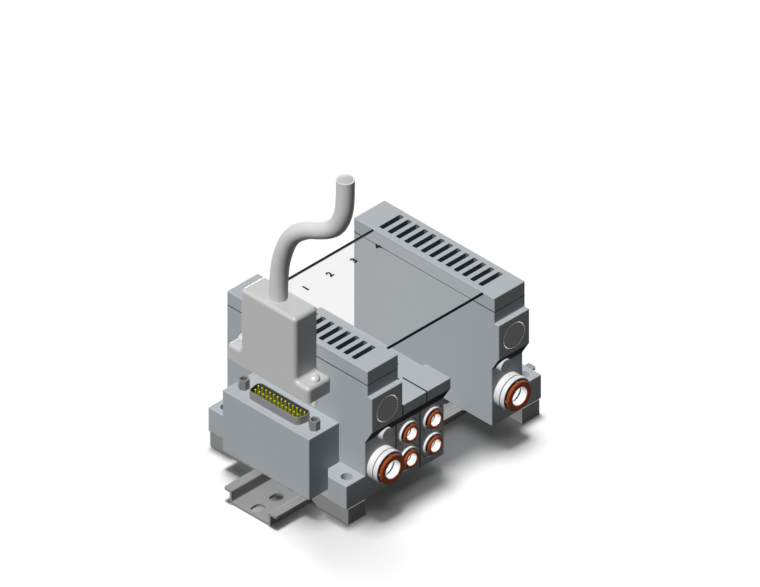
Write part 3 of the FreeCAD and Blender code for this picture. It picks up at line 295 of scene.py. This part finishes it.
class Finish(Wiring):
    """One procedural material."""

    def __init__(self, name, **constants):
        self.material = bpy.data.materials.new(name)
        self.material.use_nodes = True
        super().__init__(self.material.node_tree)
        self.shader = self.tree.nodes["Principled BSDF"]
        for socket, value in constants.items():
            self.shader.inputs[socket.replace("_", " ")].default_value = value

    def place(self):
        return self.node("ShaderNodeTexCoord", output="Object")

    def along(self, axis):
        """Place along one axis."""
        return self.part_of(self.place(), axis)

    def stretched(self, size):
        """Place, measured in units of the given size along X, Y and Z."""
        return self.node("ShaderNodeMapping", None,
                         {"Vector": self.place(), "Scale": tuple(1 / s for s in size)})

    def noise(self, size, detail=2.0, rough=0.5):
        """Cloudy noise from 0 to 1 whose lumps are about the given size."""
        sizes = size if isinstance(size, tuple) else (size, size, size)
        return self.node("ShaderNodeTexNoise", None,
                         {"Vector": self.stretched(sizes), "Scale": 1.0, "Detail": detail,
                          "Roughness": rough}, output="Fac")

    def beads(self, size):
        """Distance to the nearest of many scattered beads of about the given size."""
        return self.node("ShaderNodeTexVoronoi", None,
                         {"Vector": self.stretched((size, size, size)), "Scale": 1.0},
                         output="Distance")

    def colour(self, value):
        self.feed(self.shader.inputs["Base Color"], value)

    def roughness(self, value):
        self.feed(self.shader.inputs["Roughness"], value)

    def bump(self, height, depth, facing=None):
        """Raises the surface, which may face another way than meshed, by height x depth."""
        sockets = {"Height": height, "Distance": depth}
        if facing:
            sockets["Normal"] = facing
        self.feed(self.shader.inputs["Normal"], self.node("ShaderNodeBump", None, sockets))

    def plane_facing(self):
        """The way each face looks by itself, as a block's plane faces do."""
        return self.node("ShaderNodeNewGeometry", output="True Normal")

    def part_of(self, vector, axis):
        return self.node("ShaderNodeSeparateXYZ", None, {"Vector": vector}, "XYZ".index(axis))

    def turned_facing(self, y, z):
        """The way a piece looks that is turned about an axis along X through (y, z)."""
        facing = self.plane_facing()
        across, up = self.along("Y") - y, self.along("Z") - z
        lean = self.part_of(facing, "Y") * across + self.part_of(facing, "Z") * up
        lean = lean * (across * across + up * up) ** -1.0
        return self.node("ShaderNodeCombineXYZ", None,
                         {0: self.part_of(facing, "X"), 1: lean * across, 2: lean * up})

    def inside(self, low, high):
        """1 between the two corners of a box."""
        middle, half = (low + high) / 2, (high - low) / 2
        return (self.along("X").near(middle.x, half.x) * self.along("Y").near(middle.y, half.y)
                * self.along("Z").near(middle.z, half.z))

    def looks_in(self, box):
        """1 on walls that look towards the upright axis through a box's middle."""
        middle, facing = (box[0] + box[1]) / 2, self.plane_facing()
        lean = (self.part_of(facing, "X") * (self.along("X") - middle.x)
                + self.part_of(facing, "Y") * (self.along("Y") - middle.y))
        return lean < 0.0

    def dull_below(self, colour):
        """Painted shade: faces that look down take a dull surface in a darker colour, for the
        shade they lie in.
        """
        down = self.part_of(self.plane_facing(), "Z") < LOOKS_DOWN
        dull = self.node("ShaderNodeBsdfDiffuse", None, {"Color": colour})
        both = self.node("ShaderNodeMixShader", None,
                         {0: down, 1: Value(self, self.shader.outputs[0]), 2: dull})
        self.feed(self.tree.nodes["Material Output"].inputs["Surface"], both)

    def from_axis(self, y, z):
        """Distance from an axis that runs along X through (y, z)."""
        across, up = self.along("Y") - y, self.along("Z") - z
        return (across * across + up * up) ** 0.5

    def about_axis(self, y, z):
        """Angle about an axis that runs along X through (y, z)."""
        up = self.along("Z") - z
        return up.maths("ARCTAN2", up, self.along("Y") - y)

    def seams(self, places):
        """1 in the narrow seams at the given places, each an axis and where it lies.

        It starts from a place so far off that no piece reaches it, which gives 0.
        """
        total = self.along("X").near(FAR_OFF, 0.0)
        for axis, place in places:
            total = total | self.along(axis).near(place, SEAM_REACH)
        return total


def moulded(name, colour, grain=0.5 * MM, rough=0.52, gloss=0.12, seams=(), pits=(), pit=PIT,
            shade_behind=None, plane=False):
    """Moulded plastic: spark-eroded grain, slow clouds of shade and a few flow streaks.

    The seams and pits get painted shade, keeping only a share, pit, of the colour,
    and what lies behind the place given on X gets painted shade as dark as a pit.
    """
    finish = Finish(name, Specular_IOR_Level=gloss)
    clouds = finish.noise(14 * MM, 3.0)
    streaks = finish.noise((26 * MM, 5 * MM, 3 * MM), 2.0)
    fine = finish.noise(grain, 3.0, 0.6)
    factor = clouds * 0.45 + streaks * 0.2 + fine * 0.35
    base = finish.mix(factor, shade(colour, 0.95), shade(colour, 1.05))
    # Painted shade in the seams between parts and on the walls of holes and vents.
    if seams:
        dark = finish.seams(seams)
        for low, high in pits:
            dark = dark | finish.inside(low, high)
        base = finish.mix(dark, base, shade(colour, pit))
        # Painted shade on faces that look down.
        finish.dull_below(shade(colour, UNDERSIDE_SHADE))
    # Painted shade on what lies behind the given place on X, the recessed sides.
    if shade_behind:
        base = finish.mix(finish.along("X") < shade_behind, base, shade(colour, PIT))
    finish.colour(base)
    finish.roughness(rough - 0.08 + fine * 0.16)
    finish.bump(fine, 0.010 * MM, finish.plane_facing() if plane else None)
    return finish.material


def plated_sheet(name, colour, along, metal=0.1, rough=0.42, gloss=0.2, plane=False,
                 mouth=None):
    """Plated strip: rolling streaks along one axis over a fine crystal mottle.

    The walls that look inwards, to the middle of the node named as mouth, get painted shade.
    """
    finish = Finish(name, Metallic=metal, Specular_IOR_Level=gloss)
    streak_size = tuple(30 * MM if axis == along else 0.7 * MM for axis in "XYZ")
    streaks = finish.noise(streak_size, 3.0, 0.6)
    mottle = finish.noise(2.2 * MM, 4.0, 0.65)
    factor = streaks * 0.6 + mottle * 0.4
    base = finish.mix(factor, shade(colour, 0.94), shade(colour, 1.06))
    if mouth:
        base = finish.mix(finish.looks_in(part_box(mouth)), base, shade(colour, MOUTH_SHADE))
    finish.colour(base)
    finish.roughness(rough - 0.1 + mottle * 0.2)
    finish.bump(streaks, 0.005 * MM, finish.plane_facing() if plane else None)
    return finish.material


def blasted(name, colour):
    """Bead-blasted steel: small even craters."""
    finish = Finish(name, Metallic=0.05, Specular_IOR_Level=0.15)
    craters = finish.beads(0.55 * MM)
    clouds = finish.noise(6 * MM, 3.0)
    factor = craters * 0.4 + clouds * 0.6
    finish.colour(finish.mix(factor, shade(colour, 0.93), shade(colour, 1.07)))
    finish.roughness(0.5 + clouds * 0.15)
    finish.bump(craters, 0.015 * MM)
    return finish.material


def turned_metal(name, colour, node):
    """Satin plating turned about the node's own axis: tool marks, and painted shade on its
    front faces and in its grooves.
    """
    finish = Finish(name, Metallic=0.05, Specular_IOR_Level=0.3)
    y, z, outer = turning(node)
    radius = finish.from_axis(y, z)
    marks = ((finish.along("X") + radius) * (TURN / (0.25 * MM))).wave()
    smudge = finish.noise(2.5 * MM, 3.0)
    base = finish.mix(smudge, shade(colour, 0.96), shade(colour, 1.04))
    # Painted shade on the faces that look out along X and in the grooves.
    front = finish.part_of(finish.plane_facing(), "X") > LOOKS_OUT
    groove_shade = radius < GROOVE_SHARE * outer
    finish.colour(finish.mix(front | groove_shade, base, shade(colour, 0.08)))
    finish.roughness(0.32 + smudge * 0.1)
    finish.bump(marks * 0.5 + smudge, 0.002 * MM, finish.turned_facing(y, z))
    return finish.material


def ring_plastic(name, colour, node):
    """Satin plastic of a release ring: a knurled rim, and painted shade, near black, where it
    dips into its seat.
    """
    finish = Finish(name, Specular_IOR_Level=0.08)
    y, z, outer = turning(node)
    points, reach = reach_about_x(node, y, z)
    rim_back = points[reach > AT_RIM * outer, 0].min()
    fine = finish.noise(0.4 * MM, 3.0)
    clouds = finish.noise(3 * MM, 2.0)
    base = finish.mix(clouds * 0.6 + fine * 0.4, shade(colour, 0.9), shade(colour, 1.1))
    ridges = (finish.about_axis(y, z) * KNURLS).wave()
    on_rim = finish.from_axis(y, z) > outer - KNURL_REACH
    base = finish.mix((ridges > KNURL_SHARE) * on_rim * 0.55, base, shade(colour, 0.2))
    # Painted shade, near black, where the ring dips into its seat.
    seat_shade = finish.along("X") < rim_back - RING_SEAT
    finish.colour(finish.mix(seat_shade, base, paint(12, 12, 12)))
    finish.roughness(0.36 + fine * 0.16)
    finish.bump(ridges * on_rim + fine * 0.1, 0.05 * MM, finish.turned_facing(y, z))
    return finish.material


def porous(name, colour):
    """Sintered silencer: packed beads, lighter at their middles, with painted shade in the
    hollows between them.
    """
    finish = Finish(name, Specular_IOR_Level=0.1)
    beads = finish.beads(0.7 * MM)
    clouds = finish.noise(4 * MM, 3.0)
    finish.colour(finish.mix(beads * 0.8 + clouds * 0.3, shade(colour, 1.5),
                             shade(colour, 0.4)))
    finish.roughness(0.85 + clouds * 0.1)
    finish.bump(1 - beads, 0.15 * MM)
    return finish.material


def rubber(name, colour, rough=0.6):
    """Rubber or soft sheath: dull, with faint lengthwise drag marks."""
    finish = Finish(name, Specular_IOR_Level=0.2)
    drag = finish.noise((0.6 * MM, 0.6 * MM, 12 * MM), 3.0)
    clouds = finish.noise(7 * MM, 3.0)
    finish.colour(finish.mix(drag * 0.5 + clouds * 0.5, shade(colour, 0.95),
                             shade(colour, 1.05)))
    finish.roughness(rough - 0.06 + drag * 0.14)
    finish.bump(drag, 0.008 * MM)
    return finish.material


def clear_sheet(name):
    """Clear sheet with a faint haze and hairline wipe marks, that still lays a shadow."""
    finish = Finish(name, Specular_IOR_Level=0.15)
    finish.material.surface_render_method = "BLENDED"
    haze = finish.noise(20 * MM, 3.0)
    marks = finish.noise((1.0 * MM, 22 * MM, 1.0 * MM), 3.0)
    finish.colour(finish.mix(haze, paint(156, 158, 157), paint(162, 162, 160)))
    in_shadow = finish.node("ShaderNodeLightPath", output="Is Shadow Ray")
    finish.feed(finish.shader.inputs["Alpha"],
                0.12 + haze * 0.02 + marks * 0.02 + in_shadow * SHEET_SHADE)
    finish.roughness(0.2 + marks * 0.1)
    return finish.material


def plated_contact(name, colour):
    """Plated contact metal, a little uneven."""
    finish = Finish(name, Metallic=0.55, Specular_IOR_Level=0.4)
    cloud = finish.noise(0.8 * MM, 2.0)
    finish.colour(finish.mix(cloud, shade(colour, 0.85), shade(colour, 1.15)))
    finish.roughness(0.26 + cloud * 0.12)
    return finish.material


def circuit_board(name):
    """Solder mask over a faint grid of tracks."""
    finish = Finish(name, Specular_IOR_Level=0.4)
    tracks = finish.node("ShaderNodeTexWave", {"wave_type": "BANDS"},
                         {"Vector": finish.place(), "Scale": 180.0, "Distortion": 2.0},
                         output="Fac")
    finish.colour(finish.mix(tracks, paint(18, 74, 38), paint(34, 104, 58)))
    finish.roughness(0.35 + tracks * 0.1)
    finish.bump(tracks, 0.03 * MM)
    return finish.material


def inked(name):
    """Printed numeral: matt black ink that thins a little."""
    finish = Finish(name, Specular_IOR_Level=0.05)
    cover = finish.noise(0.5 * MM, 2.0)
    finish.colour(finish.mix(cover, paint(3, 3, 3), paint(9, 9, 9)))
    finish.roughness(0.5 + cover * 0.2)
    return finish.material


def finish_pieces():
    """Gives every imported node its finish, and returns the shared finishes by name."""
    grey = paint(146, 151, 155)
    made = {
        "body": moulded("body_grey", grey, seams=block_seams(), pits=port_pits(), plane=True),
        "cap": moulded("cap_grey", grey, grain=0.45 * MM, seams=block_seams(),
                       pits=vent_pits(), pit=VENT_PIT, plane=True),
        # Painted shade on the bushes' and exhaust plugs' sides behind their front faces.
        "bush": moulded("bush_grey", paint(160, 160, 160), grain=0.4 * MM, plane=True,
                        shade_behind=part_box("port_bushes")[1].x - GROOVE_SINK),
        "disc": moulded("disc_grey", paint(164, 164, 164), grain=0.4 * MM, plane=True,
                        shade_behind=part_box("front_exhaust_plug")[1].x - GROOVE_SINK),
        "hood": moulded("hood_grey", paint(164, 164, 164), rough=0.32, gloss=0.4, plane=True),
        "plug": moulded("plug_grey", paint(176, 176, 176), rough=0.4, plane=True),
        "rail": plated_sheet("rail_zinc", paint(127, 127, 127), "Y"),
        "grip": blasted("grip_steel", paint(127, 127, 127)),
        "screw": plated_sheet("screw_zinc", paint(184, 184, 184), "Z", metal=0.2, rough=0.32,
                              gloss=0.4),
        "shell": plated_sheet("shell_tin", paint(124, 124, 124), "X", metal=0.2, rough=0.34,
                              gloss=0.4),
        # Painted shade on the inner walls of the connector's shell.
        "mouth": plated_sheet("mouth_tin", paint(124, 124, 124), "X", metal=0.2, rough=0.34,
                              gloss=0.4, mouth="connector_shell"),
        "jack": plated_sheet("jack_nickel", paint(120, 120, 120), "Z", metal=0.2, rough=0.34,
                             gloss=0.3, plane=True),
        "silencer": porous("silencer_bronze", paint(62, 60, 58)),
        "rubber": rubber("seal_rubber", paint(34, 34, 34)),
        "cable": rubber("cable_sheath", paint(184, 184, 184), rough=0.5),
        "contact": plated_contact("contact_gold", paint(168, 172, 12)),
        "dark": moulded("insulator_dark", paint(52, 52, 52), grain=0.3 * MM),
        "light": moulded("insulator_light", paint(176, 176, 172), grain=0.3 * MM),
        "board": circuit_board("board_green"),
        "cover": clear_sheet("cover_clear"),
        "rod": moulded("rod_black", paint(9, 9, 9), grain=0.3 * MM, gloss=0.04),
        "ink": inked("numeral_ink"),
        "collet": plated_sheet("collet_steel", paint(212, 212, 212), "X", rough=0.3),
    }
    for name, piece in frame["nodes"].items():
        if name.endswith("_fitting"):
            wear(piece, turned_metal(f"turned_{name}", paint(197, 197, 197), name))
        elif name.endswith("_release_ring"):
            wear(piece, ring_plastic(f"satin_{name}", paint(145, 64, 26), name))
        else:
            wear(piece, made[next(finish for finish, endings in WORN_BY.items()
                                  if name.endswith(endings))])
    return made


def block_seams():
    """Where caps meet end blocks and where the stations meet each other: the seams that get
    painted shade.
    """
    return [("Z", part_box("front_vent_cap")[0].z), ("Y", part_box("station_block_1")[0].y),
            ("Y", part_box("station_block_1")[1].y), ("Y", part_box("station_block_2")[0].y)]


def vent_pits():
    """The boxes in which the caps' own surface is only the wall of a vent, which gets painted
    shade.
    """
    margin = Vector((VENT_MARGIN, VENT_MARGIN, 0))
    pits = []
    for name in ("front_vent_cap", "rear_vent_cap"):
        low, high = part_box(name)
        pits.append((low + margin, high - margin - Vector((0, 0, PIT_SINK))))
    return pits


def port_pits():
    """The boxes in which the blocks' own surface is only the wall of a port's hole, which gets
    painted shade.
    """
    filled = {"port_bushes": PORT_FACE, "front_supply_fitting": PORT_FACE,
              "rear_supply_fitting": PORT_FACE, "front_pilot_plug": PORT_FACE,
              "rear_pilot_plug": PORT_FACE, "front_exhaust_plug": PLATE_FACE,
              "rear_exhaust_plug": PLATE_FACE}
    margin = Vector((0, PIT_MARGIN, PIT_MARGIN))
    pits = []
    for name, face in filled.items():
        low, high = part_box(name)
        pits.append((low - margin, Vector((face - PIT_SINK, high.y, high.z)) + margin))
    return pits


def wear(piece, material):
    """The piece takes one material all over."""
    piece.data.materials.clear()
    piece.data.materials.append(material)


def grid_faces(rows, columns):
    """Quads of a grid whose rows close on themselves, as corner numbers."""
    row, column = np.meshgrid(np.arange(rows - 1), np.arange(columns), indexing="ij")
    after = (column + 1) % columns
    corners = [row * columns + column, row * columns + after,
               (row + 1) * columns + after, (row + 1) * columns + column]
    return np.stack(corners, -1).reshape(-1, 4)


def solid(name, points, faces, material, body, sharp=SHARP_ANGLE):
    """A closed mesh from points and faces, merged, turned outwards, riding on a body."""
    mesh = bpy.data.meshes.new(name)
    mesh.from_pydata(points.reshape(-1, 3).tolist(), [], faces.tolist())
    shaped = bmesh.new()
    shaped.from_mesh(mesh)
    bmesh.ops.remove_doubles(shaped, verts=shaped.verts, dist=SAME_POINT)
    bmesh.ops.dissolve_degenerate(shaped, edges=shaped.edges, dist=NO_LENGTH)
    bmesh.ops.recalc_face_normals(shaped, faces=shaped.faces)
    if shaped.calc_volume(signed=True) < 0:
        bmesh.ops.reverse_faces(shaped, faces=shaped.faces)
    shaped.to_mesh(mesh)
    shaped.free()
    mesh.shade_smooth()
    mesh.set_sharp_from_angle(angle=sharp)
    piece = bpy.data.objects.new(name, mesh)
    bpy.context.scene.collection.objects.link(piece)
    wear(piece, material)
    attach(piece, body)
    return piece


def turned_about_x(profile, y, z, columns):
    """Points (x, y + r cos a, z + r sin a) for each (x, r) of the profile."""
    x, radius = np.array(profile).T
    angle = np.linspace(0, TURN, columns, endpoint=False)
    return np.stack([np.repeat(x[:, None], columns, 1), y + radius[:, None] * np.cos(angle),
                     z + radius[:, None] * np.sin(angle)], -1)


def turned_about_z(height, reach, x, y, columns):
    """Points (x + r cos a, y + r sin a, h) for each height h and its reach r."""
    angle = np.linspace(0, TURN, columns, endpoint=False)
    return np.stack([x + reach * np.cos(angle), y + reach * np.sin(angle),
                     np.repeat(height[:, None], columns, 1)], -1)


def add_liners():
    """The bright sleeve inside each release ring: a thin tube, turned about the bore."""
    bright = plated_sheet("liner_bright", paint(212, 212, 212), "X", rough=0.3)
    for name in PORT_NAMES:
        ring = f"{name}_release_ring"
        low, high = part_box(ring)
        y, z, _ = turning(ring)
        bore = reach_about_x(ring, y, z)[1].min()
        front, back = high.x - LINER_SUNK, low.x - LINER_SHY
        inner, outer = bore - LINER_WALL, bore - LINER_FIT
        profile = [(back, inner), (front, inner), (front + LINER_SHY, (inner + outer) / 2),
                   (front, outer), (back, outer), (back, inner)]
        grid = turned_about_x(profile, y, z, LINER_COLUMNS)
        solid(f"{name}_liner", grid, grid_faces(*grid.shape[:2]), bright, frame_body(ring))


def frame_body(node):
    """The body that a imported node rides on."""
    bodies = frame["record"]["behaviour"]["bodies"]
    return next(body for body, members in bodies.items() if node in members)


def add_rims():
    """The ring of small teeth round each exhaust plug.

    Each tooth is a block in radius, depth and angle: a corner at radius r and angle a goes
    to (y + r cos a, z + r sin a).
    """
    corner = np.array([[r, s, t] for r in (0, 1) for s in (0, 1) for t in (0, 1)], float)
    sides = np.array([[0, 1, 3, 2], [4, 6, 7, 5], [0, 4, 5, 1], [2, 3, 7, 6],
                      [0, 2, 6, 4], [1, 5, 7, 3]])
    bright = blasted("rim_teeth", paint(236, 236, 236))
    for end in ("front", "rear"):
        low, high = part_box(f"{end}_exhaust_plug")
        y, z = (low.y + high.y) / 2, (low.z + high.z) / 2
        outer = (high.z - low.z) / 2 - RIM_INSET
        tooth = np.arange(RIM_TEETH)[:, None] + TOOTH_SHARE * corner[None, :, 2]
        angle = tooth * TURN / RIM_TEETH
        radius = outer - RIM_WIDTH * (1 - corner[None, :, 0])
        x = high.x - RIM_SINK - RIM_DEPTH * (1 - corner[None, :, 1])
        points = np.stack([x + 0 * angle, y + radius * np.cos(angle),
                           z + radius * np.sin(angle)], -1)
        first = len(corner) * np.arange(RIM_TEETH)
        faces = (sides[None] + first[:, None, None]).reshape(-1, 4)
        solid(f"{end}_exhaust_rim", points, faces, bright, "base", TOOTH_ANGLE)


def add_plug_screws(finishes):
    """Threaded screws with domed heads in the hood's ears.

    The radius follows a profile up the axis; in the threaded stretch a triangle wave of
    height over pitch less angle over a full turn is taken off it.
    """
    hood_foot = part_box("plug_hood")[0].z
    angle = np.linspace(0, TURN, SCREW_COLUMNS, endpoint=False)
    for side in ("left", "right"):
        node = f"plug_screw_{side}"
        low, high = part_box(node)
        x, y = (low.x + high.x) / 2, (low.y + high.y) / 2
        head = (high.x - low.x) / 2
        points = np.array([v.co for v in frame["nodes"][node].data.vertices])
        reach = np.hypot(points[:, 0] - x, points[:, 1] - y)
        seat = points[reach > head * AT_HEAD, 2].min()
        shank = reach[points[:, 2] < seat - MM].max()
        thread_top = hood_foot + THREAD_INTO_HOOD
        turns = np.arange(low.z + TIP_CHAMFER, thread_top, THREAD_PITCH / THREAD_STEPS)
        dome = np.linspace(0, 1, DOME_STEPS + 1)[1:] * TURN / 4
        edge = seat + HEAD_EDGE
        height = np.concatenate([[low.z, low.z], turns,
                                 [thread_top + THREAD_PITCH, seat, seat, edge],
                                 edge + (high.z - seat - HEAD_EDGE) * np.sin(dome)])
        radius = np.concatenate([[0, shank - TIP_CHAMFER], np.full(len(turns), shank),
                                 [shank, shank, head - HEAD_CHAMFER, head],
                                 head * np.cos(dome)])
        threaded = np.zeros(len(height))
        threaded[2:2 + len(turns)] = 1
        phase = (height[:, None] / THREAD_PITCH - angle[None] / TURN) % 1
        valley = THREAD_DEPTH * (1 - np.abs(2 * phase - 1)) * threaded[:, None]
        grid = turned_about_z(height, np.maximum(radius[:, None] - valley, 0), x, y,
                              SCREW_COLUMNS)
        piece = solid(f"threaded_screw_{side}", grid, grid_faces(*grid.shape[:2]),
                      finishes["screw"], f"screw_{side}")
        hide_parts(node)


def add_cable(finishes):
    """The cable stub: a round sheath on a smooth curve, with its plain cut end."""
    hood_low, hood_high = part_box("plug_hood")
    x, y = (hood_low.x + hood_high.x) / 2, (hood_low.y + hood_high.y) / 2
    route = [(x + across * MM, y, hood_high.z + up * MM, 1) for across, up in CABLE_ROUTE]
    curve = bpy.data.curves.new("cable_stub", "CURVE")
    curve.dimensions = "3D"
    spline = curve.splines.new("NURBS")
    spline.points.add(len(route) - 1)
    for point, place in zip(spline.points, route):
        point.co = place
    spline.order_u = 3
    spline.use_endpoint_u = True
    spline.resolution_u = 12
    curve.bevel_depth = CABLE_RADIUS
    curve.bevel_resolution = 10
    curve.use_fill_caps = True
    cable = bpy.data.objects.new("cable_stub", curve)
    bpy.context.scene.collection.objects.link(cable)
    cable.data.materials.append(finishes["cable"])
    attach(cable, "plug")
    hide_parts("plug_cable")
    end = add_cut_end(route[-1])


def add_cut_end(place):
    """The cut face of the cable: a low disc inside the sheath's edge, turned about Z."""
    radius = np.array([0, CUT_RADIUS, CUT_EDGE_RADIUS, CUT_EDGE_RADIUS, 0])
    rise = np.array([CUT_RISE, CUT_RISE, CUT_EDGE_RISE, CUT_ROOT, CUT_ROOT])
    grid = turned_about_z(place[2] + rise, radius[:, None], place[0], place[1], CUT_COLUMNS)
    filler = moulded("cable_filler", paint(160, 160, 160), grain=0.3 * MM)
    return solid("cable_cut_end", grid, grid_faces(*grid.shape[:2]), filler, "plug")


def add_numerals(finishes):
    """Station numbers 1 to 4, printed on the clear sheet and read from the port side."""
    low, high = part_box("station_cover")
    pitch = (high.y - low.y) / NUMERALS
    for number in range(1, NUMERALS + 1):
        text = bpy.data.curves.new(f"numeral_{number}", "FONT")
        text.body = str(number)
        text.size = NUMERAL_SIZE
        text.extrude = NUMERAL_LIFT / 2
        text.offset = NUMERAL_WEIGHT
        text.align_x = "CENTER"
        text.align_y = "CENTER"
        holder = bpy.data.objects.new("text_holder", text)
        bpy.context.scene.collection.objects.link(holder)
        bpy.context.view_layer.update()
        mesh = bpy.data.meshes.new_from_object(holder.evaluated_get(
            bpy.context.evaluated_depsgraph_get()))
        bpy.data.objects.remove(holder)
        place = np.array([v.co for v in mesh.vertices])
        turned = np.stack([NUMERAL_X - place[:, 1], low.y + pitch * (number - 0.5)
                           + place[:, 0], high.z + NUMERAL_LIFT + place[:, 2]], -1)
        mesh.vertices.foreach_set("co", turned.ravel())
        numeral = bpy.data.objects.new(f"station_numeral_{number}", mesh)
        bpy.context.scene.collection.objects.link(numeral)
        wear(numeral, finishes["ink"])
        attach(numeral, "base")


def add_floor():
    """A wide pale floor that looks white, keeps the shadow and bounces little light.

    It has a painted shadow under the rail, where the slots show it.
    """
    half = FLOOR_SIZE / 2
    mesh = bpy.data.meshes.new("floor")
    mesh.from_pydata([(-half, -half, 0), (half, -half, 0), (half, half, 0), (-half, half, 0)],
                     [], [(0, 1, 2, 3)])
    floor = bpy.data.objects.new("floor", mesh)
    bpy.context.scene.collection.objects.link(floor)
    finish = Finish("floor_pale", Roughness=0.9, Specular_IOR_Level=0.0,
                    Emission_Color=(1, 1, 1, 1), Emission_Strength=FLOOR_GLOW)
    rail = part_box("din_rail")[1]
    under = (finish.along("X").near(0.0, rail.x * RAIL_SHADOW_SHARE)
             * finish.along("Y").near(0.0, rail.y))
    seen = finish.mix(under, (FLOOR_SEEN,) * 3 + (1,), (FLOOR_RAIL_SHADOW,) * 3 + (1,))
    finish.colour(finish.mix(finish.seen_ray(), (FLOOR_BOUNCE,) * 3 + (1,), seen))
    wear(floor, finish.material)
    return floor


def add_lamp(name, source, level, spread, floor, on_floor):
    """A far lamp that lights either the floor, with shadows, or all else, without."""
    lamp = bpy.data.lights.new(name, "SUN")
    lamp.energy = np.pi * level
    lamp.angle = spread
    lamp.use_shadow = on_floor
    holder = bpy.data.objects.new(name, lamp)
    holder.rotation_euler = source.to_track_quat("Z", "Y").to_euler()
    bpy.context.scene.collection.objects.link(holder)
    lit = bpy.data.collections.new(f"{name}_lit")
    lit.objects.link(floor)
    lit.collection_objects[0].light_linking.link_state = "INCLUDE" if on_floor else "EXCLUDE"
    holder.light_linking.receiver_collection = lit


def add_light(floor):
    """The lamps, and a dim even surround that looks white."""
    add_lamp("key", KEY_FROM, KEY_LEVEL, KEY_SPREAD, floor, False)
    add_lamp("back", BACK_FROM, BACK_LEVEL, KEY_SPREAD, floor, False)
    add_lamp("shadow", SHADOW_FROM, SHADOW_LEVEL, SHADOW_SPREAD, floor, True)
    add_lamp("halo", HALO_FROM, HALO_LEVEL, HALO_SPREAD, floor, True)
    world = bpy.data.worlds.new("surround")
    bpy.context.scene.world = world
    world.use_nodes = True
    wiring = Wiring(world.node_tree)
    sky = world.node_tree.nodes["Background"]
    sky.inputs["Color"].default_value = (1, 1, 1, 1)
    wiring.feed(sky.inputs["Strength"], wiring.seen_ray() * (1 - SURROUND) + SURROUND)


def add_camera():
    """Parallel view from the cube's corner, framed as the picture is."""
    camera = bpy.data.cameras.new("camera")
    camera.type = "ORTHO"
    camera.ortho_scale = PICTURE_WIDTH / PIXELS_PER_MM * MM
    camera.clip_end = CAMERA_REACH
    holder = bpy.data.objects.new("camera", camera)
    holder.location = LOOKS_AT + FROM_CORNER * CAMERA_DISTANCE
    holder.rotation_euler = FROM_CORNER.to_track_quat("Z", "Y").to_euler()
    bpy.context.scene.collection.objects.link(holder)
    bpy.context.scene.camera = holder


bpy.context.scene.view_settings.view_transform = "Standard"
add_camera()
finishes = finish_pieces()
add_cable(finishes)
add_plug_screws(finishes)
add_liners()
add_rims()
add_numerals(finishes)
add_light(add_floor())
